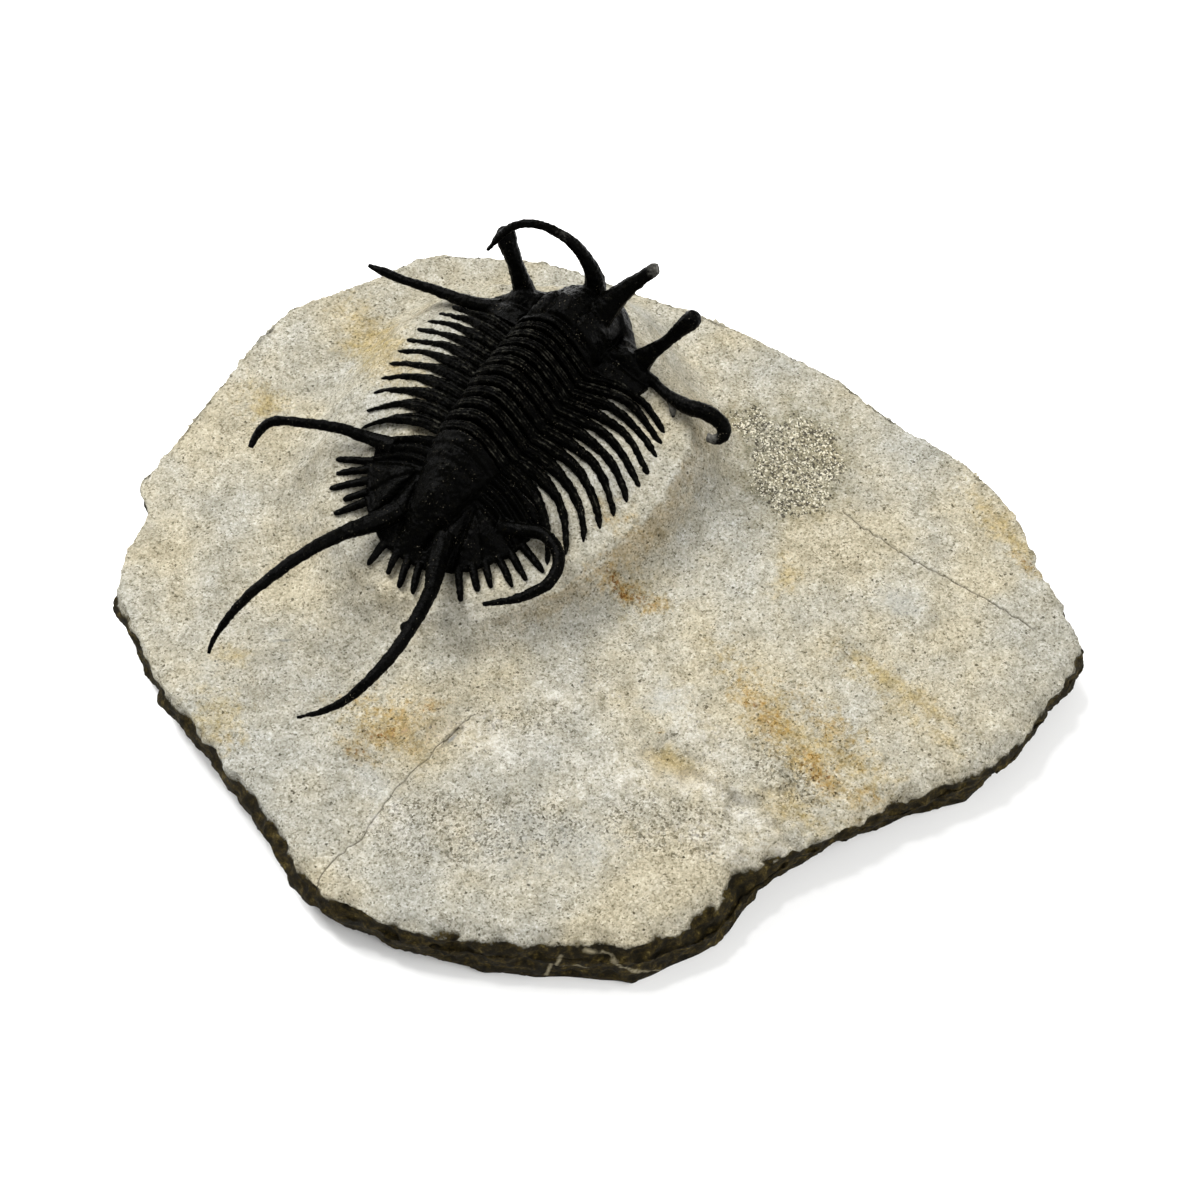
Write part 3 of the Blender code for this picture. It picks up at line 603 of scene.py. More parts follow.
# %% Pull one ball out into a ring with two spines
SEGMENTS = 11
MIDDLE_SEGMENT = 6
SEGMENT_PLACE = (0.0, -1.56, -0.024)
SEGMENT_REACH = (18.6, -0.13, -0.098)
SEGMENT_SWEEP = (-0.9, -0.49, -0.026)
SEGMENT_GAP = 0.20
SWEEP_CURVE = 1.4
HOOK_CURVE = 3.0
TIP_CURVE = 1.15
LEFT_NECK = 0.32
RIGHT_NECK = 0.03
LEFT_BOW = (0.7, -0.03, 0.0)
RIGHT_BOW = (1.15, -0.18, 0.0)
RIGHT_HOOK = (1.5, 0.34, -0.03)
RING_SIDES = 56
RING_STATIONS = 200
# Places of the three arcs across a ring and of the two ridges along a rib, from -1 at the rear to 1 in front
RING_ARCS = (-0.66, -0.08, 0.46)
RIB_RIDGES = (-0.5, 0.34)


def by_segment(terms, number):
    """A size that changes from segment to segment; number 1 is next to the head."""
    start, slope, curve = terms
    step = number - MIDDLE_SEGMENT
    return start + slope * step + curve * step ** 2


def thorax_ring(number):
    """One segment: a vaulted ring, a ridged rib on each side, and a spine that runs out from each."""
    middle = by_segment(SEGMENT_PLACE, number)
    pitch = by_segment(SEGMENT_PLACE, number - 0.5) - by_segment(SEGMENT_PLACE, number + 0.5)
    half = (pitch - SEGMENT_GAP) / 2
    reach = by_segment(SEGMENT_REACH, number)
    sweep = by_segment(SEGMENT_SWEEP, number)
    axis = along(AXIS_HALF_WIDTH, middle)
    edge = along(EDGE_HALF_WIDTH, middle)
    edge_height = along(EDGE_HEIGHT, middle)

    bpy.ops.object.select_all(action="DESELECT")
    bpy.ops.mesh.primitive_uv_sphere_add(segments=RING_SIDES, ring_count=RING_STATIONS, radius=MM)
    ring = bpy.context.object
    ring.name = f"thorax_ring_{number:02d}"
    ball = points_of(ring)
    share = np.arcsin(np.clip(ball[:, 2], -1.0, 1.0)) / (np.pi / 2)
    turn = np.arctan2(ball[:, 1], ball[:, 0])
    across, upward = np.cos(turn), np.sin(turn)

    x = share * reach
    side = np.abs(x)
    outward = np.maximum(side - axis, 0.0) / (reach - axis)
    along_spine = np.maximum(side - edge, 0.0) / (reach - edge)
    inward = np.where(x < 0, 0.6, 1.6)
    on_spine = smoothly(side, edge - 1.2 - inward, edge + 1.5 - inward)
    on_axis = 1 - smoothly(side, axis - 0.9, axis + 0.4)
    wobble = 0.09 * np.sin(0.8 * x + 2.3 * number)
    bent = 0.55 * outward ** SWEEP_CURVE + 0.45 * outward ** HOOK_CURVE
    bow = np.where(x < 0, by_segment(LEFT_BOW, number), by_segment(RIGHT_BOW, number))
    hook = np.where(x < 0, 0.0, max(by_segment(RIGHT_HOOK, number), 0.0)) * outward ** 4
    arch = 0.35 * (1 + np.cos(np.pi * np.minimum(side / (axis + 0.6), 1.0)))
    y_middle = middle + sweep * bent + bow * np.sin(np.pi * outward) ** 1.3 + arch + wobble * on_spine - hook
    neck = np.where(x < 0, LEFT_NECK, RIGHT_NECK) * np.minimum(3 * along_spine, 1.0)
    closing = np.sqrt(np.clip((1 - np.abs(share)) / 0.035, 0.0, 1.0))
    waist = np.where(x < 0, 0.06, 0.10) * smoothly(side, edge - 3.5, edge - 0.5)
    width = half * (1 - neck - waist - 0.12 * along_spine ** 2) * closing
    top = back_height(x, middle)
    under = under_height(x, middle)
    spine_top = edge_height + (TIP_HEIGHT - edge_height) * along_spine ** TIP_CURVE
    top = np.where(side > edge, spine_top, top)
    under = np.where(side > edge, spine_top - SHELL_THICKNESS * (1 - 0.7 * along_spine), under)

    arcs = sum(0.30 * near(across - place, 0.13) for place in RING_ARCS) - 0.12
    rib = sum(0.34 * near(across - place, 0.17) for place in RIB_RIDGES) - 0.10
    rounded = 0.32 * (1 - 0.5 * along_spine) * near(across, 0.7)
    relief = on_axis * arcs + (1 - on_axis) * (1 - on_spine) * rib + on_spine * rounded
    height_middle = (top + under) / 2
    crown = 0.42 + 0.45 * on_spine
    upper = height_middle + (top + relief - height_middle) * np.abs(upward) ** crown
    lower = height_middle + (under - height_middle) * np.abs(upward) ** 0.7
    tuck = 1 + 0.34 * (1 - on_spine) * smoothly(-upward, -0.25, 0.35)
    z = np.where(upward > 0, upper, lower) * closing + height_middle * (1 - closing)
    y = y_middle + width * across * tuck
    put_points(ring, to_slab(np.column_stack([x, y, z])))
    # Where the crests lie: the shell gets a grey streak there, partly wear and partly a painted highlight
    worn_and_lit_crests = on_axis * sum(near(across - place, 0.12) for place in RING_ARCS)
    worn_and_lit_crests += (1 - on_axis) * (1 - on_spine) * sum(near(across - place, 0.16) for place in RIB_RIDGES)
    worn_and_lit_crests += 0.7 * on_spine * near(across - 0.2, 0.3)
    mark(ring, "ridge", worn_and_lit_crests * (upward > 0))
    roughen(ring, 1.3, 0.26, 1)
    roughen(ring, 0.42, 0.30)
    return ring


rings = [thorax_ring(number) for number in range(1, SEGMENTS + 1)]
print("rings:", len(rings), "with", len(rings[0].data.polygons), "faces each")

# %% [markdown]
# ## Shields and spines
#
# The head shield and the tail shield each grew as one piece, with long spines that rise out of them. A
# shield is a sheet: a grid laid over its outline and lifted by the back's height and by its own lobes and
# furrows. A spine is a curve whose thickness changes from point to point. Joined and wrapped in one voxel
# net, the spines flow into the shield as grown shell does, with no seam at their roots.

# %% Make a sheet of shell and a tapering spine
SHELL_NET = 0.146
NET_SHRINK = 1.13


def shell_sheet(name, rows, relief, columns, lines):
    """A slab of shell over rows of (middle y, left y, left reach, right y, right reach, arched)."""
    bpy.ops.object.select_all(action="DESELECT")
    bpy.ops.mesh.primitive_grid_add(x_subdivisions=columns, y_subdivisions=lines, size=MM)
    piece = bpy.context.object
    piece.name = name
    edit_all(piece)
    bpy.ops.mesh.extrude_region_move(TRANSFORM_OT_translate={"value": (0, 0, -MM)})
    bpy.ops.mesh.select_all(action="SELECT")
    bpy.ops.mesh.normals_make_consistent(inside=False)
    bpy.ops.object.mode_set(mode="OBJECT")
    flat = points_of(piece)
    line = (flat[:, 1] + 0.5) * (len(rows) - 1)
    middle, left_y, left_reach, right_y, right_reach, arched = (
        np.interp(line, range(len(rows)), column) for column in zip(*rows))
    bend = np.sin(np.pi * flat[:, 0])
    reach = np.where(bend < 0, left_reach, right_reach)
    end_y = np.where(bend < 0, left_y, right_y)
    x = reach * bend
    y = middle + (end_y - middle) * np.abs(bend) ** 3 + arched * arch_forward(x, middle)
    top = back_height(x, y) + relief(x, y)
    under = np.minimum(under_height(x, y) + 0.05, top - 0.35)
    put_points(piece, to_slab(np.column_stack([x, y, np.where(flat[:, 2] > -0.5, top, under)])))
    return piece


def spine(points, steps=8, sides=3):
    """A tapering spine through points of (x, y, z, thickness), as a closed mesh."""
    path = curve_through(points, steps)
    places = to_slab(path[:, :3])
    line = bpy.data.curves.new("spine", "CURVE")
    line.dimensions = "3D"
    line.bevel_depth = 0.5 * MM
    line.bevel_resolution = sides
    line.use_fill_caps = True
    run = line.splines.new("POLY")
    run.points.add(len(path) - 1)
    for point, place, thickness in zip(run.points, places, path[:, 3]):
        point.co = (*(place * MM), 1.0)
        point.radius = thickness * NET_SHRINK
    piece = bpy.data.objects.new("spine", line)
    bpy.context.scene.collection.objects.link(piece)
    select_only(piece)
    bpy.ops.object.convert(target="MESH")
    return piece


def knob(x, y, z, size):
    """A small round swelling in the animal's frame."""
    bpy.ops.object.select_all(action="DESELECT")
    place = to_slab(np.array([[x, y, z]]))[0] * MM
    bpy.ops.mesh.primitive_uv_sphere_add(segments=16, ring_count=10, radius=size / 2 * MM, location=place)
    bpy.ops.object.transform_apply(location=True, rotation=True, scale=True)
    return bpy.context.object


def grow_together(name, pieces):
    """Joins the pieces and wraps them in one even net, so that they become one body of shell."""
    select_only(*pieces)
    bpy.ops.object.join()
    grown = bpy.context.object
    grown.name = name
    grown.data.remesh_voxel_size = SHELL_NET * MM
    bpy.ops.object.voxel_remesh()
    finish_with(grown, "SMOOTH", factor=0.5, iterations=2)
    roughen(grown, 1.4, 0.2, 1)
    roughen(grown, 0.45, 0.2)
    print(name, "has", len(grown.data.polygons), "faces")
    return grown


# %% [markdown]
# ## Lobes, furrows and granules
#
# The surface of a shield is a sum of a few simple forms: rounded swellings, furrows along a line with ridges
# beside them, and scattered pimples. Carving them by hand would do, but as functions of the place they stay
# exact, and the relief of each shield reads as a list of them.

# %% Forms of the relief
def swelling(x, y, height, top_x, top_y, spread_x, spread_y):
    """A rounded swelling at one place."""
    return height * np.exp(-((x - top_x) / spread_x) ** 2 - ((y - top_y) / spread_y) ** 2)


def furrow(x, y, route, width, depth):
    """A furrow along a smooth route; a negative depth makes a ridge."""
    path = curve_through(route, 5)
    return -depth * near(distance_to_path(np.column_stack([x, y]), path), width)


def granules(x, y, seed, count, spread_x, low_y, high_y, size, height):
    """Small scattered pimples, as on the shell of this kind."""
    rng = random.Random(seed)
    found = np.zeros(len(x))
    for _ in range(count):
        place_x, place_y = rng.uniform(-spread_x, spread_x), rng.uniform(low_y, high_y)
        grain = size * rng.uniform(0.7, 1.3)
        found = np.maximum(found, height * near(np.hypot(x - place_x, y - place_y), grain))
    return found


# %% [markdown]
# ## The head shield
#
# Over the middle of the head lies the glabella, a swollen lobe with a pair of long side lobes, set off by
# deep furrows. The cheeks fall away beside it, under the two clubbed stalks. Two horns sweep up from the
# front, and a long genal spine leaves each corner; the right one is bent into a hook.

# %% Build the head
HEAD_ROWS = (
    (7.98, 9.6, 12.2, 9.2, 11.2, 1), (8.9, 10.1, 12.9, 10.3, 11.7, 0.9), (10.3, 10.9, 13, 11.5, 11.8, 0.5),
    (12, 11.8, 12.4, 12.6, 11.3, 0.2), (14.2, 12.7, 11.2, 13.6, 10.2, 0), (16.6, 13.7, 9.6, 14.4, 8.8, 0),
    (18.5, 14.8, 8.4, 15.2, 7.4, 0), (19.5, 15.4, 7.4, 15.8, 6.4, 0),
)
HEAD_SPINES = {
    "genal_left": ((-10.6, 10.9, 2.2, 1.8), (-13.2, 9.8, 1.7, 1.7), (-16.6, 8.9, 1.8, 1.45),
        (-20, 8.1, 2, 1.2), (-23.3, 7.2, 2.3, 1.05), (-26, 6.6, 2.6, 1.05), (-28.3, 6.2, 2.8, 0.5)),
    "genal_right": ((9.6, 12.6, 2.3, 1.8), (11.5, 12.7, 1.8, 1.35), (14, 12.1, 2, 1.25),
        (17.3, 11.7, 2.6, 1.75), (20, 12.1, 3, 1.85), (22.1, 12.2, 2.6, 1.8), (23.4, 11.5, 2, 1.6),
        (23.1, 10.5, 1.6, 1.3), (21.8, 10, 1.4, 0.9)),
    "stalk_left": ((-8.2, 12.9, 1.8, 3.6), (-8.8, 13.6, 4.4, 2.5), (-10.2, 14.4, 7.8, 1.9),
        (-11.4, 15, 9.8, 2.1), (-12.2, 15.6, 11, 2.4), (-12.6, 16, 11.8, 1.6)),
    "stalk_right": ((8.4, 12.9, 1.6, 4), (9.3, 13.5, 3.3, 2.9), (10.2, 14.2, 4.8, 2.1),
        (11.8, 15.6, 7, 1.45), (13.1, 17.2, 9, 1.7), (14, 18.3, 10.5, 2.2), (14.5, 18.9, 11.3, 1.4)),
    "horn_left": ((0.2, 15.6, 5.6, 3.2), (0.2, 17.1, 8, 2.6), (-0.4, 17.6, 10.5, 1.9),
        (-1.6, 17.6, 13.2, 1.5), (-3, 17.2, 15.4, 1.3), (-4.7, 16.6, 16.9, 1.1), (-6.5, 16, 17.5, 1),
        (-8.8, 15, 17, 1), (-10.7, 13.6, 15.2, 0.9), (-12.1, 12, 12.4, 0.4)),
    "horn_right": ((2.4, 13.8, 6.6, 3.8), (3.4, 15.8, 8.4, 3), (4.8, 17.9, 10.5, 2), (6.4, 19.5, 12.5, 1.6),
        (7.2, 20.3, 13.5, 1.5), (7.7, 20.6, 13.8, 1.1)),
    "spur": ((14.6, 12.3, 2, 1.2), (15.4, 11.6, 1.5, 1), (16, 10.9, 0.9, 0.7), (16.4, 10.4, 0.6, 0.4)),
}
# Worn or dusty places: x, y, z, radius, strength
WORN = (
    (7.6, 20.5, 13.7, 1.6, 0.5), (22.2, 10.1, 1.5, 1.4, 0.6), (-8.5, 13.2, 3.6, 1.5, 0.45),
    (2.8, 15, 7.6, 1, 0.6), (7.4, 13.9, 3.4, 2.2, 0.32), (15.8, 11.1, 1.2, 1.1, 0.6),
    (-4, 17, 16.4, 2.2, 0.3), (17, 12.3, 3.1, 2.5, 0.25),
)


def head_relief(x, y):
    """Lobes, furrows, the neck ring and the rim of the head shield."""
    side = np.abs(x)
    found = swelling(side, y, 0.9, 3.4, 12.2, 1.3, 1.8) + swelling(side, y, 1.8, 8.6, 12.9, 1.7, 1.5)
    found += swelling(x, y, 0.5, 0.0, 13.2, 1.9, 3.2)
    found += swelling(side, y, 0.5, 4.6, 10.4, 0.9, 0.8) + swelling(side, y, 0.45, 8.3, 10.2, 1.5, 0.6)
    found += furrow(side, y, ((5.7, 9.6), (5.2, 11.4), (5.6, 13.4), (4.6, 15.8), (3.0, 17.4)), 0.42, 0.8)
    found += furrow(side, y, ((2.3, 10.2), (2.0, 12.0), (2.5, 14.0)), 0.28, 0.5)
    found += furrow(side, y, ((5.8, 11.2), (7.6, 11.2), (9.6, 11.2), (11.4, 11.6)), 0.35, 0.45)
    found += furrow(side, y, ((6.2, 14.4), (8.0, 14.9), (10.0, 13.9)), 0.4, -0.4)
    found += np.where(side < 6.0, furrow(x, y, ((-5.6, 9.3), (0.0, 9.9), (5.6, 9.3)), 0.35, 0.75), 0.0)
    found += furrow(x, y, ((-5.0, 8.5), (0.0, 9.0), (5.0, 8.5)), 0.35, -0.25)
    return found + granules(x, y, 3, 150, 11.5, 8.2, 18.5, 0.22, 0.22)


head = grow_together("head_shell", [
    shell_sheet("head_shell", HEAD_ROWS, head_relief, 150, 96),
    *[spine(points) for points in HEAD_SPINES.values()],
    knob(14.1, 18.45, 10.7, 2.3), knob(-12.2, 15.6, 11.1, 1.75), knob(-26.3, 6.55, 2.65, 1.25),
])
local = to_animal(points_of(head))
mark(head, "worn", np.max([strength * near(np.linalg.norm(local - (x, y, z), axis=1), radius)
                           for x, y, z, radius, strength in WORN], axis=0))

# %% [markdown]
# ## The tail shield
#
# The tail is a flat fan of leaf-like lobes round a short granular axis. Two long spines leave its rear edge
# and two shorter ones its sides, and a fringe of thin spines fills in between them. Each lobe is set off by
# a furrow with a sharp line on either side.

# %% Build the tail
TAIL_ROWS = (
    (-23.9, -22.8, 5, -22.8, 5, 0), (-22.6, -21.6, 7, -21.6, 7, 0), (-20.4, -20.2, 8.4, -20.2, 8.4, 0),
    (-17.8, -18.6, 9.6, -18.6, 9.6, 0.1), (-15.2, -17, 10.6, -16.8, 10.8, 0.3),
    (-12.8, -15.6, 11.3, -14.6, 11.5, 0.6), (-10.8, -13.8, 11.6, -12.2, 11.9, 0.9),
    (-9.46, -12.4, 11.2, -10.6, 11.8, 1),
)
TAIL_SPINES = {
    "side_left": ((-9.4, -12.8, 2.1, 2.2), (-12.6, -13.4, 2, 1.6), (-16.4, -14.8, 3, 1.3),
        (-20.6, -17.2, 4, 1.1), (-23.2, -18.8, 4.2, 1.1), (-24.2, -20.7, 3.8, 1), (-24, -23.2, 3.2, 0.7)),
    "side_right": ((8, -14.5, 2.2, 2.2), (10.4, -13.5, 2.2, 1.7), (13.2, -12.7, 3.2, 1.5),
        (16.2, -13.6, 4, 1.45), (17.9, -15.4, 4.2, 1.4), (18.2, -17.8, 3.8, 1.3), (17, -20, 3.2, 1.15),
        (15.3, -21.8, 2.6, 0.95), (12.6, -23.9, 2, 0.5)),
    "rear_left": ((-3.4, -19.4, 2.4, 2.4), (-4.8, -22.5, 2.6, 2.2), (-6.7, -26.7, 4, 1.6),
        (-8.3, -32.1, 5.4, 1.4), (-9.8, -37.9, 5.5, 1.2), (-10.5, -41, 5, 1.05), (-10.9, -43.6, 4.2, 0.85),
        (-11.1, -46, 3.1, 0.6), (-10.8, -47.6, 2.2, 0.35)),
    "rear_right": ((3.4, -19.2, 2.4, 2.4), (4.9, -22.5, 2.9, 2.3), (7.3, -26.7, 4.5, 1.7),
        (8.7, -31.2, 5.8, 1.5), (9.3, -35.8, 6.2, 1.4), (8.9, -40.2, 5.8, 1.2), (7.7, -43.7, 4.6, 0.95),
        (5.7, -46.2, 3.4, 0.7), (3.3, -48.1, 2.2, 0.35)),
}
# Fringe spines: x and y of the root, then of the tip
FRINGE = (
    (-10.9, -15.4, -15.3, -17.6), (-10.6, -16.4, -14, -19.2), (-9.8, -17.8, -13.4, -21.4),
    (-8.9, -19.2, -11, -21.6), (-8.2, -20.4, -10.7, -23.8), (-2.8, -23.4, -2.9, -27.1),
    (-0.8, -23.6, -0.1, -26.7), (0.9, -23.6, 2.2, -27.4), (2.5, -23.4, 4.1, -27.1), (6.8, -21.3, 9.6, -24.6),
    (7.9, -20, 10.5, -22.4), (8.9, -18.8, 11.6, -21.1), (9.8, -17.3, 13.6, -19.5),
    (10.5, -15.9, 14.5, -17.9), (11.2, -14.4, 15.7, -15.9),
)


def fringe_spine(root_x, root_y, tip_x, tip_y):
    """One short spine of the fringe, which droops a little on its way out."""
    stops = ((0.0, 0.9, 1.0), (0.35, 0.8, 0.92), (0.7, 0.66, 0.78), (0.92, 0.52, 0.6), (1.0, 0.45, 0.3))
    return spine([(root_x + (tip_x - root_x) * share, root_y + (tip_y - root_y) * share, height, thickness)
                  for share, height, thickness in stops], steps=4)


def tail_relief(x, y):
    """The ribs of the first lobes, the deep furrows beside the axis, and the lines between the leaves."""
    side = np.abs(x)
    found = np.zeros(len(x))
    for start, end in ((-9.9, -11.4), (-11.2, -12.9), (-12.5, -14.3)):
        found += furrow(side, y, ((4.6, start), (7.5, start - 0.5), (12.0, end - 0.7)), 0.26, 0.5)
        found += furrow(side, y, ((4.6, start - 0.6), (7.5, start - 1.1), (12.0, end - 1.3)), 0.26, -0.3)
    found += furrow(side, y, ((4.3, -13.6), (7.4, -14.2), (10.6, -15.2)), 0.5, 0.7)
    found += furrow(side, y, ((4.4, -14.6), (4.9, -17.2), (5.6, -20.0), (6.2, -22.2)), 0.42, 0.85)
    found += furrow(side, y, ((3.7, -14.4), (3.2, -17.0), (2.5, -19.4), (2.0, -21.6)), 0.30, 0.55)
    found += furrow(side, y, ((5.2, -15.2), (7.4, -17.6), (9.0, -19.6)), 0.22, 0.28)
    found += swelling(side, y, 0.5, 7.9, -16.4, 1.8, 1.0) + swelling(side, y, 0.45, 6.2, -19.0, 0.7, 1.8)
    found += swelling(side, y, 0.5, 3.9, -20.2, 0.6, 1.8) + swelling(x, y, 0.7, 0.0, -16.8, 1.6, 1.6)
    found += furrow(x, y, ((-3.8, -10.9), (0.0, -10.5), (3.8, -10.9)), 0.24, 0.4)
    found += furrow(x, y, ((-3.4, -12.6), (0.0, -12.3), (3.4, -12.6)), 0.24, 0.3)
    found += granules(x, y, 5, 90, 3.4, -20.0, -10.0, 0.2, 0.2)
    return found + granules(x, y, 6, 70, 9.5, -23.0, -14.5, 0.2, 0.12)


tail = grow_together("tail_shell", [
    shell_sheet("tail_shell", TAIL_ROWS, tail_relief, 150, 100),
    *[spine(points) for points in TAIL_SPINES.values()],
    *[fringe_spine(*ends) for ends in FRINGE],
    knob(-23.0, -18.7, 4.3, 1.35), knob(8.6, -32.6, 5.9, 1.75), knob(7.6, -27.3, 4.8, 1.9),
])

# %% [markdown]
# ## Helpers for every material
#
# A material is a small net of nodes. One function adds a node, sets what is named, and feeds its sockets.
# Colours are the ones a person reads off a screen, so one function turns them to linear light. All patterns
# read Object coordinates in millimetres, so their sizes are the real ones. Stains and wear are coats, laid
# one over the other. Each coat comes in where its own pattern and its mark together rise above a level,
# which gives it a ragged edge.

# %% Add a node, read a colour, lay coats
def linear(code):
    """Linear colour of an sRGB hex value such as #CBC6B2."""
    parts = [int(code[start:start + 2], 16) / 255 for start in (1, 3, 5)]
    return (*[part / 12.92 if part <= 0.04045 else ((part + 0.055) / 1.055) ** 2.4 for part in parts], 1.0)


def feed(tree, node, sockets):
    """Gives each socket a plain value, an output, or another node's first output."""
    for name, value in sockets.items():
        if isinstance(value, bpy.types.Node):
            value = value.outputs[0]
        if isinstance(value, bpy.types.NodeSocket):
            tree.links.new(value, node.inputs[name])
        else:
            node.inputs[name].default_value = value


def add(tree, kind, sockets, stops=(), **settings):
    """Adds a node with its settings, feeds its sockets, and gives a ramp its stops of place and colour."""
    node = tree.nodes.new("ShaderNode" + kind)
    for name, value in settings.items():
        setattr(node, name, value)
    feed(tree, node, sockets)
    if stops:
        elements = node.color_ramp.elements
        while len(elements) < len(stops):
            elements.new(0.5)
        for element, (place, code) in zip(elements, stops):
            element.position = place
            element.color = linear(code)
    return node


def begin_material(title, noises=(), marks=()):
    """A material with its shader, its noises of (scale, detail, roughness), and the marks it reads."""
    made = bpy.data.materials.new(title)
    made.use_nodes = True
    tree = made.node_tree
    own_place = add(tree, "TexCoord", {}).outputs["Object"]
    place = add(tree, "VectorMath", {0: own_place, 1: (1 / MM,) * 3}, operation="MULTIPLY")
    patterns = [add(tree, "TexNoise", {"Vector": place, "Scale": scale, "Detail": detail, "Roughness": rough})
                for scale, detail, rough in noises]
    values = [add(tree, "Attribute", {}, attribute_name=name).outputs["Fac"] for name in marks]
    return made, tree.nodes["Principled BSDF"], place, patterns, values


def lay_coats(tree, colour, coats):
    """Lays each coat over the colour, where pattern * share + value rises from start to full."""
    for pattern, share, value, start, full, strength, blend, coat in coats:
        level = add(tree, "Math", {0: pattern, 1: share, 2: value}, operation="MULTIPLY_ADD")
        amount = add(tree, "MapRange", {"Value": level, "From Min": start, "From Max": full,
                                        "To Max": strength})
        colour = add(tree, "Mix", {0: amount, 6: colour, 7: coat},
                     data_type="RGBA", blend_type=blend).outputs[2]
    return colour


# %% [markdown]
# ## Sandblasted limestone
#
# The stone is a fine sandy limestone, grit-blasted by the preparator: dull, with grains of a fifth to a
# third of a millimetre in cream and grey, and a few dark ones. Two cell patterns draw them, each cell with
# its own chance of a colour, and a slow noise lets the whole drift between warm and cool. Over that lie the
# stains, and at the edge the dark brown crust of the broken wall, which was not cleaned.

# %% Mix the stone
# Each stain: its mark, blend, colour, strength, pattern, raggedness, and where it starts and is full
STAINS = (
    ("cool", "MIX", "#9A9D9B", 0.5, "soft", 1.4, 0.35, 1.0),
    ("ochre", "MULTIPLY", "#EBD79C", 0.8, "soft", 2.4, 0.3, 1.1),
    ("rust", "MULTIPLY", "#EED9A8", 0.9, "soft", 2.6, 0.3, 1.1),
    ("rust", "MULTIPLY", "#E6C080", 0.85, "soft", 5.0, 0.9, 1.8),
    ("rust", "MULTIPLY", "#B98446", 0.8, "grains", 1.2, 1.06, 1.4),
    ("rust", "MIX", "#5B4120", 0.7, "sand", 1.4, 1.38, 1.55),
    ("slate", "MIX", "#50565A", 0.85, "soft", 1.2, 0.5, 0.9),
    ("flecks", "MULTIPLY", "#98948B", 0.8, "grains", 1.0, 1.28, 1.42),
    ("flecks", "MULTIPLY", "#B4B0A6", 0.7, "sand", -1.0, 1.2, 1.4),
    ("pale", "MIX", "#CFCCC4", 0.55, "soft", 4.0, 0.4, 1.3),
    ("dark", "MULTIPLY", "#D9D5C4", 0.9, "soft", 2.0, 0.3, 1.0),
    ("dark", "MIX", "#34302A", 0.85, "grains", 1.2, 1.3, 1.36),
    ("dark", "MIX", "#3A362E", 0.7, "sand", 1.4, 1.42, 1.5),
    ("dark", "MIX", "#D8D2BE", 0.6, "sand", -1.2, 1.36, 1.44),
    # The flank away from the light: partly dust, partly painted shade
    ("dirt_and_shade", "MULTIPLY", "#EEDDBF", 0.75, "soft", 2.4, 0.3, 1.1),
)
# Ramps of the drift, the coarse grains, the fine sand, the mottling and the crust
SHADES = (
    ((0.36, "#B5B5B1"), (0.5, "#BCB9AF"), (0.64, "#C2BBA9")),
    ((0.0, "#77736A"), (0.012, "#C6C5BE"), (0.12, "#E0E0DB"), (0.8, "#F4F3F0"), (1.0, "#FFFFFF")),
    ((0.0, "#9C988E"), (0.12, "#D2CFC7"), (0.5, "#ECEBE7"), (1.0, "#FFFFFF")),
    ((0.32, "#CBC9C1"), (0.5, "#EFEEEA"), (0.66, "#FFFFFF")),
    ((0.36, "#0A0802"), (0.49, "#1B1607"), (0.6, "#362D13"), (0.73, "#6E6238")),
)
GRAINS_TO_A_MM = (3.6, 5.2)


def limestone_material():
    """Sandblasted sandy limestone: matt and finely speckled, with iron stains and a dark natural crust."""
    made, shader, place, patterns, marks = begin_material(
        "sandblasted sandy limestone",
        ((0.07, 4.0, 0.6), (0.35, 7.0, 0.75), (0.8, 7.0, 0.78), (0.8, 7.0, 0.75), (3.4, 5.0, 0.7)),
        ("wall", "vein", "crack"))
    drift, mottle, soft, crust, fine = patterns
    wall_mark, vein_mark, crack_mark = marks
    tree = made.node_tree
    cells = [add(tree, "TexVoronoi", {"Vector": place, "Scale": scale, "Randomness": 1.0})
             for scale in GRAINS_TO_A_MM]
    grains, sand = [add(tree, "SeparateColor", {0: cell.outputs["Color"]}) for cell in cells]

    colour, *layers, crusted = [add(tree, "ValToRGB", {0: pattern}, stops)
                                for pattern, stops in zip((drift, grains, sand, mottle, crust), SHADES)]
    for layer in layers:
        colour = add(tree, "Mix", {0: 1.0, 6: colour, 7: layer},
                     data_type="RGBA", blend_type="MULTIPLY").outputs[2]

    ragged_by = {"soft": soft, "grains": grains.outputs["Green"], "sand": sand.outputs["Green"]}
    for name, blend, code, strength, pattern, raggedness, start, full in STAINS:
        value = add(tree, "Attribute", {}, attribute_name=name).outputs["Fac"]
        present = add(tree, "MapRange", {"Value": value, "From Min": 0.02, "From Max": 0.25,
                                         "To Max": strength})
        centre = raggedness / 2
        colour = lay_coats(tree, colour, [(ragged_by[pattern], raggedness, value, start + centre,
                                           full + centre, present, blend, linear(code))])
    colour = lay_coats(tree, colour, (
        (soft, 0.8, wall_mark, 0.62, 0.85, 1.0, "MIX", crusted),
        (crust, vein_mark, 0.0, 0.15, 0.5, 1.0, "MIX", linear("#857D66")),
        (mottle, crack_mark, 0.0, 0.12, 0.5, 0.8, "MIX", linear("#3A3428")),
    ))

    roughness = add(tree, "MapRange", {"Value": fine, "To Min": 0.8, "To Max": 1.0})
    grit = add(tree, "Mix", {0: 0.5, 2: fine, 3: grains}, data_type="FLOAT")
    bump = add(tree, "Bump", {"Height": grit, "Strength": 1.0, "Distance": 0.4 * MM})
    feed(tree, shader, {"Base Color": colour, "Roughness": roughness, "Normal": bump,
                        "Specular IOR Level": 0.1})
    return made


stone = limestone_material()
rock.data.materials.append(stone)
print(stone.name, "has", len(stone.node_tree.nodes), "nodes")
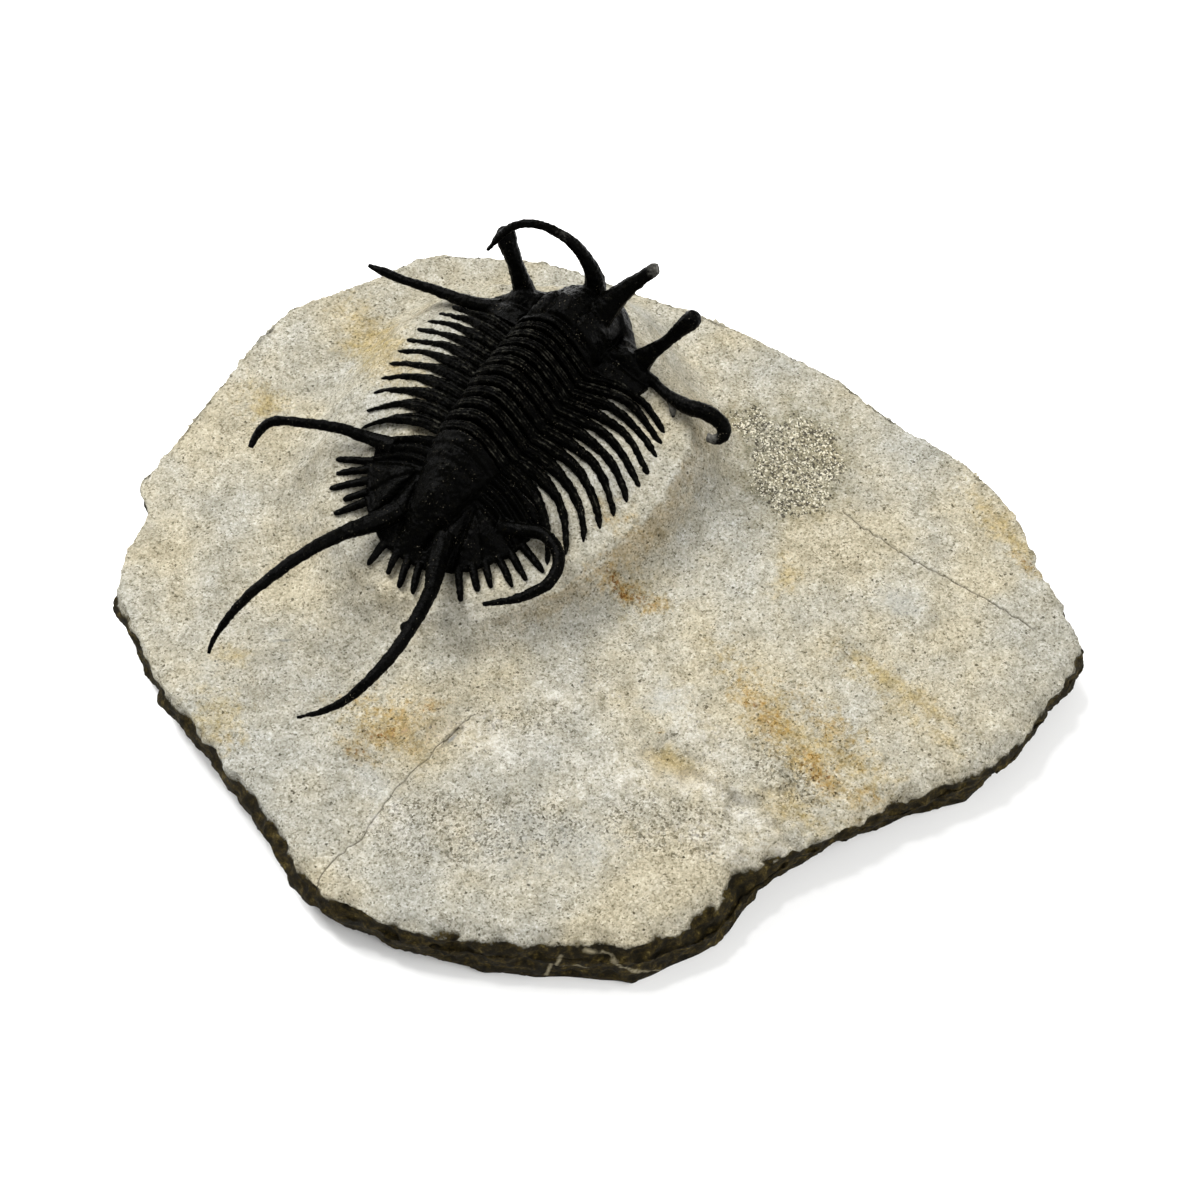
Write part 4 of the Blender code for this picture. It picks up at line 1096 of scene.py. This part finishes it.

# %% [markdown]
# ## Black calcite
#
# The shell of the animal is now dense black calcite, cleaned by air abrasion and left unwaxed. It is almost
# black, with a broken sheen. A faint grey streak along its crests is partly wear and partly a painted
# highlight, and pale specks in loose patches are partly grit and partly painted glints. Where it is worn,
# bare grey calcite shows. The crests and the worn places are marks on the pieces, and noise breaks them up.

# %% Mix the shell
def calcite_material():
    """Black fossil calcite, air-abraded: nearly black, with a soft broken sheen, specks of pale grit and
    painted glints, and crests streaked by wear and a painted highlight.
    """
    made, shader, place, patterns, marks = begin_material(
        "air-abraded black calcite",
        ((1.3, 6.0, 0.8), (5.0, 2.0, 0.6), (0.3, 2.0, 0.5), (2.6, 5.0, 0.7), (1.1, 8.0, 0.85),
         (3.2, 5.0, 0.8)),
        ("ridge", "worn"))
    cloud, grit_and_glint_specks, patch, crumb, streak, fine = patterns
    crest_wear_and_highlight, worn_mark = marks
    tree = made.node_tree
    base = add(tree, "ValToRGB", {0: cloud}, ((0.40, "#010101"), (0.60, "#020201"), (0.74, "#100D07")))
    colour = lay_coats(tree, base, (
        # Pale specks: partly grit, partly painted glints
        (patch, 0.35, grit_and_glint_specks, 0.90, 0.96, 1.0, "MIX", linear("#6A6455")),
        # Grey streak along the crests: partly wear, partly a painted highlight
        (crest_wear_and_highlight, 0.12, streak, 0.60, 0.80, 1.0, "MIX", linear("#403F37")),
        (crumb, worn_mark, 0.0, 0.12, 0.5, 1.0, "MIX", linear("#77756E")),
    ))
    roughness = add(tree, "MapRange", {"Value": fine, "From Min": 0.3, "From Max": 0.7,
                                       "To Min": 0.14, "To Max": 0.4})
    bump = add(tree, "Bump", {"Height": fine, "Strength": 1.0, "Distance": 0.07 * MM})
    feed(tree, shader, {"Base Color": colour, "Roughness": roughness, "Normal": bump, "IOR": 1.6,
                        "Specular IOR Level": 0.014})
    return made


calcite = calcite_material()
for piece in (head, tail, *rings):
    piece.data.materials.clear()
    piece.data.materials.append(calcite)
print(calcite.name, "has", len(calcite.node_tree.nodes), "nodes")

# %% [markdown]
# ## Tie every piece to the frame
#
# Each piece stands for the solid it was made over and rides on the one body. The finish listed beside it is
# not used.

# %% Ride and replace
pieces = {"matrix_slab": (rock, "limestone_matrix"), "head_shield": (head, "calcite_shell"),
          "tail_shield": (tail, "calcite_shell")}
for number, ring in enumerate(rings, start=1):
    pieces[f"thorax_segment_{number:02d}"] = (ring, "calcite_shell")
for node, (piece, slot) in pieces.items():
    select_only(piece)
    bpy.ops.object.shade_smooth()
    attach(piece, "root")
    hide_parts(node)
print("pieces:", len(pieces))

# %% [markdown]
# ## Floor, light and camera
#
# The floor is plain and pale. One broad light above and behind on the left models the ribs, a weaker one
# fills from the right, and a small one high up gives the granules their pinpoint glints. A pale sky keeps
# the shadows open. The camera looks down at 61 degrees.

# %% Stage
bpy.ops.object.select_all(action="DESELECT")
bpy.ops.mesh.primitive_plane_add(size=3.0, location=(0, 0, -0.02 * MM))
floor = bpy.context.object
floor.name = "floor"
bpy.ops.object.transform_apply(location=True, rotation=True, scale=True)
paper, paper_shader, *_ = begin_material("matt white paper")
feed(paper.node_tree, paper_shader, {"Base Color": linear("#F7F7F6"), "Roughness": 0.95,
                                     "Specular IOR Level": 0.0})
floor.data.materials.append(paper)


def lamp(name, place, size, power):
    """A square soft light that faces the middle of the slab."""
    bpy.ops.object.light_add(type="AREA", location=place)
    light = bpy.context.object
    light.name = name
    light.data.size = size
    light.data.energy = power
    light.rotation_euler = (-Vector(place)).to_track_quat("-Z", "Y").to_euler()


lamp("key", (-0.35, 0.42, 0.62), 0.48, 13.0)
lamp("fill", (0.55, -0.30, 0.60), 0.7, 7.0)
lamp("glint", (-0.20, 0.10, 0.75), 0.07, 1.2)
sky = bpy.data.worlds.new("pale sky")
bpy.context.scene.world = sky
sky.use_nodes = True
background = sky.node_tree.nodes["Background"]
feed(sky.node_tree, background, {"Color": linear("#FFFFFF"), "Strength": 0.45})

CAMERA_ELEVATION = 61.0
CAMERA_DISTANCE = 319.3
CAMERA_AIM = (0.285, -3.58, 9.5)
tilt = math.radians(CAMERA_ELEVATION)
backward = Vector((0.0, -math.cos(tilt), math.sin(tilt))) * CAMERA_DISTANCE
bpy.ops.object.camera_add(location=(Vector(CAMERA_AIM) + backward) * MM,
                          rotation=(math.radians(90.0 - CAMERA_ELEVATION), 0, 0))
camera = bpy.context.object
camera.data.lens = 78.0
camera.data.sensor_width = 36.0
camera.data.clip_start = 0.01
bpy.context.scene.camera = camera
bpy.context.scene.view_settings.view_transform = "Standard"
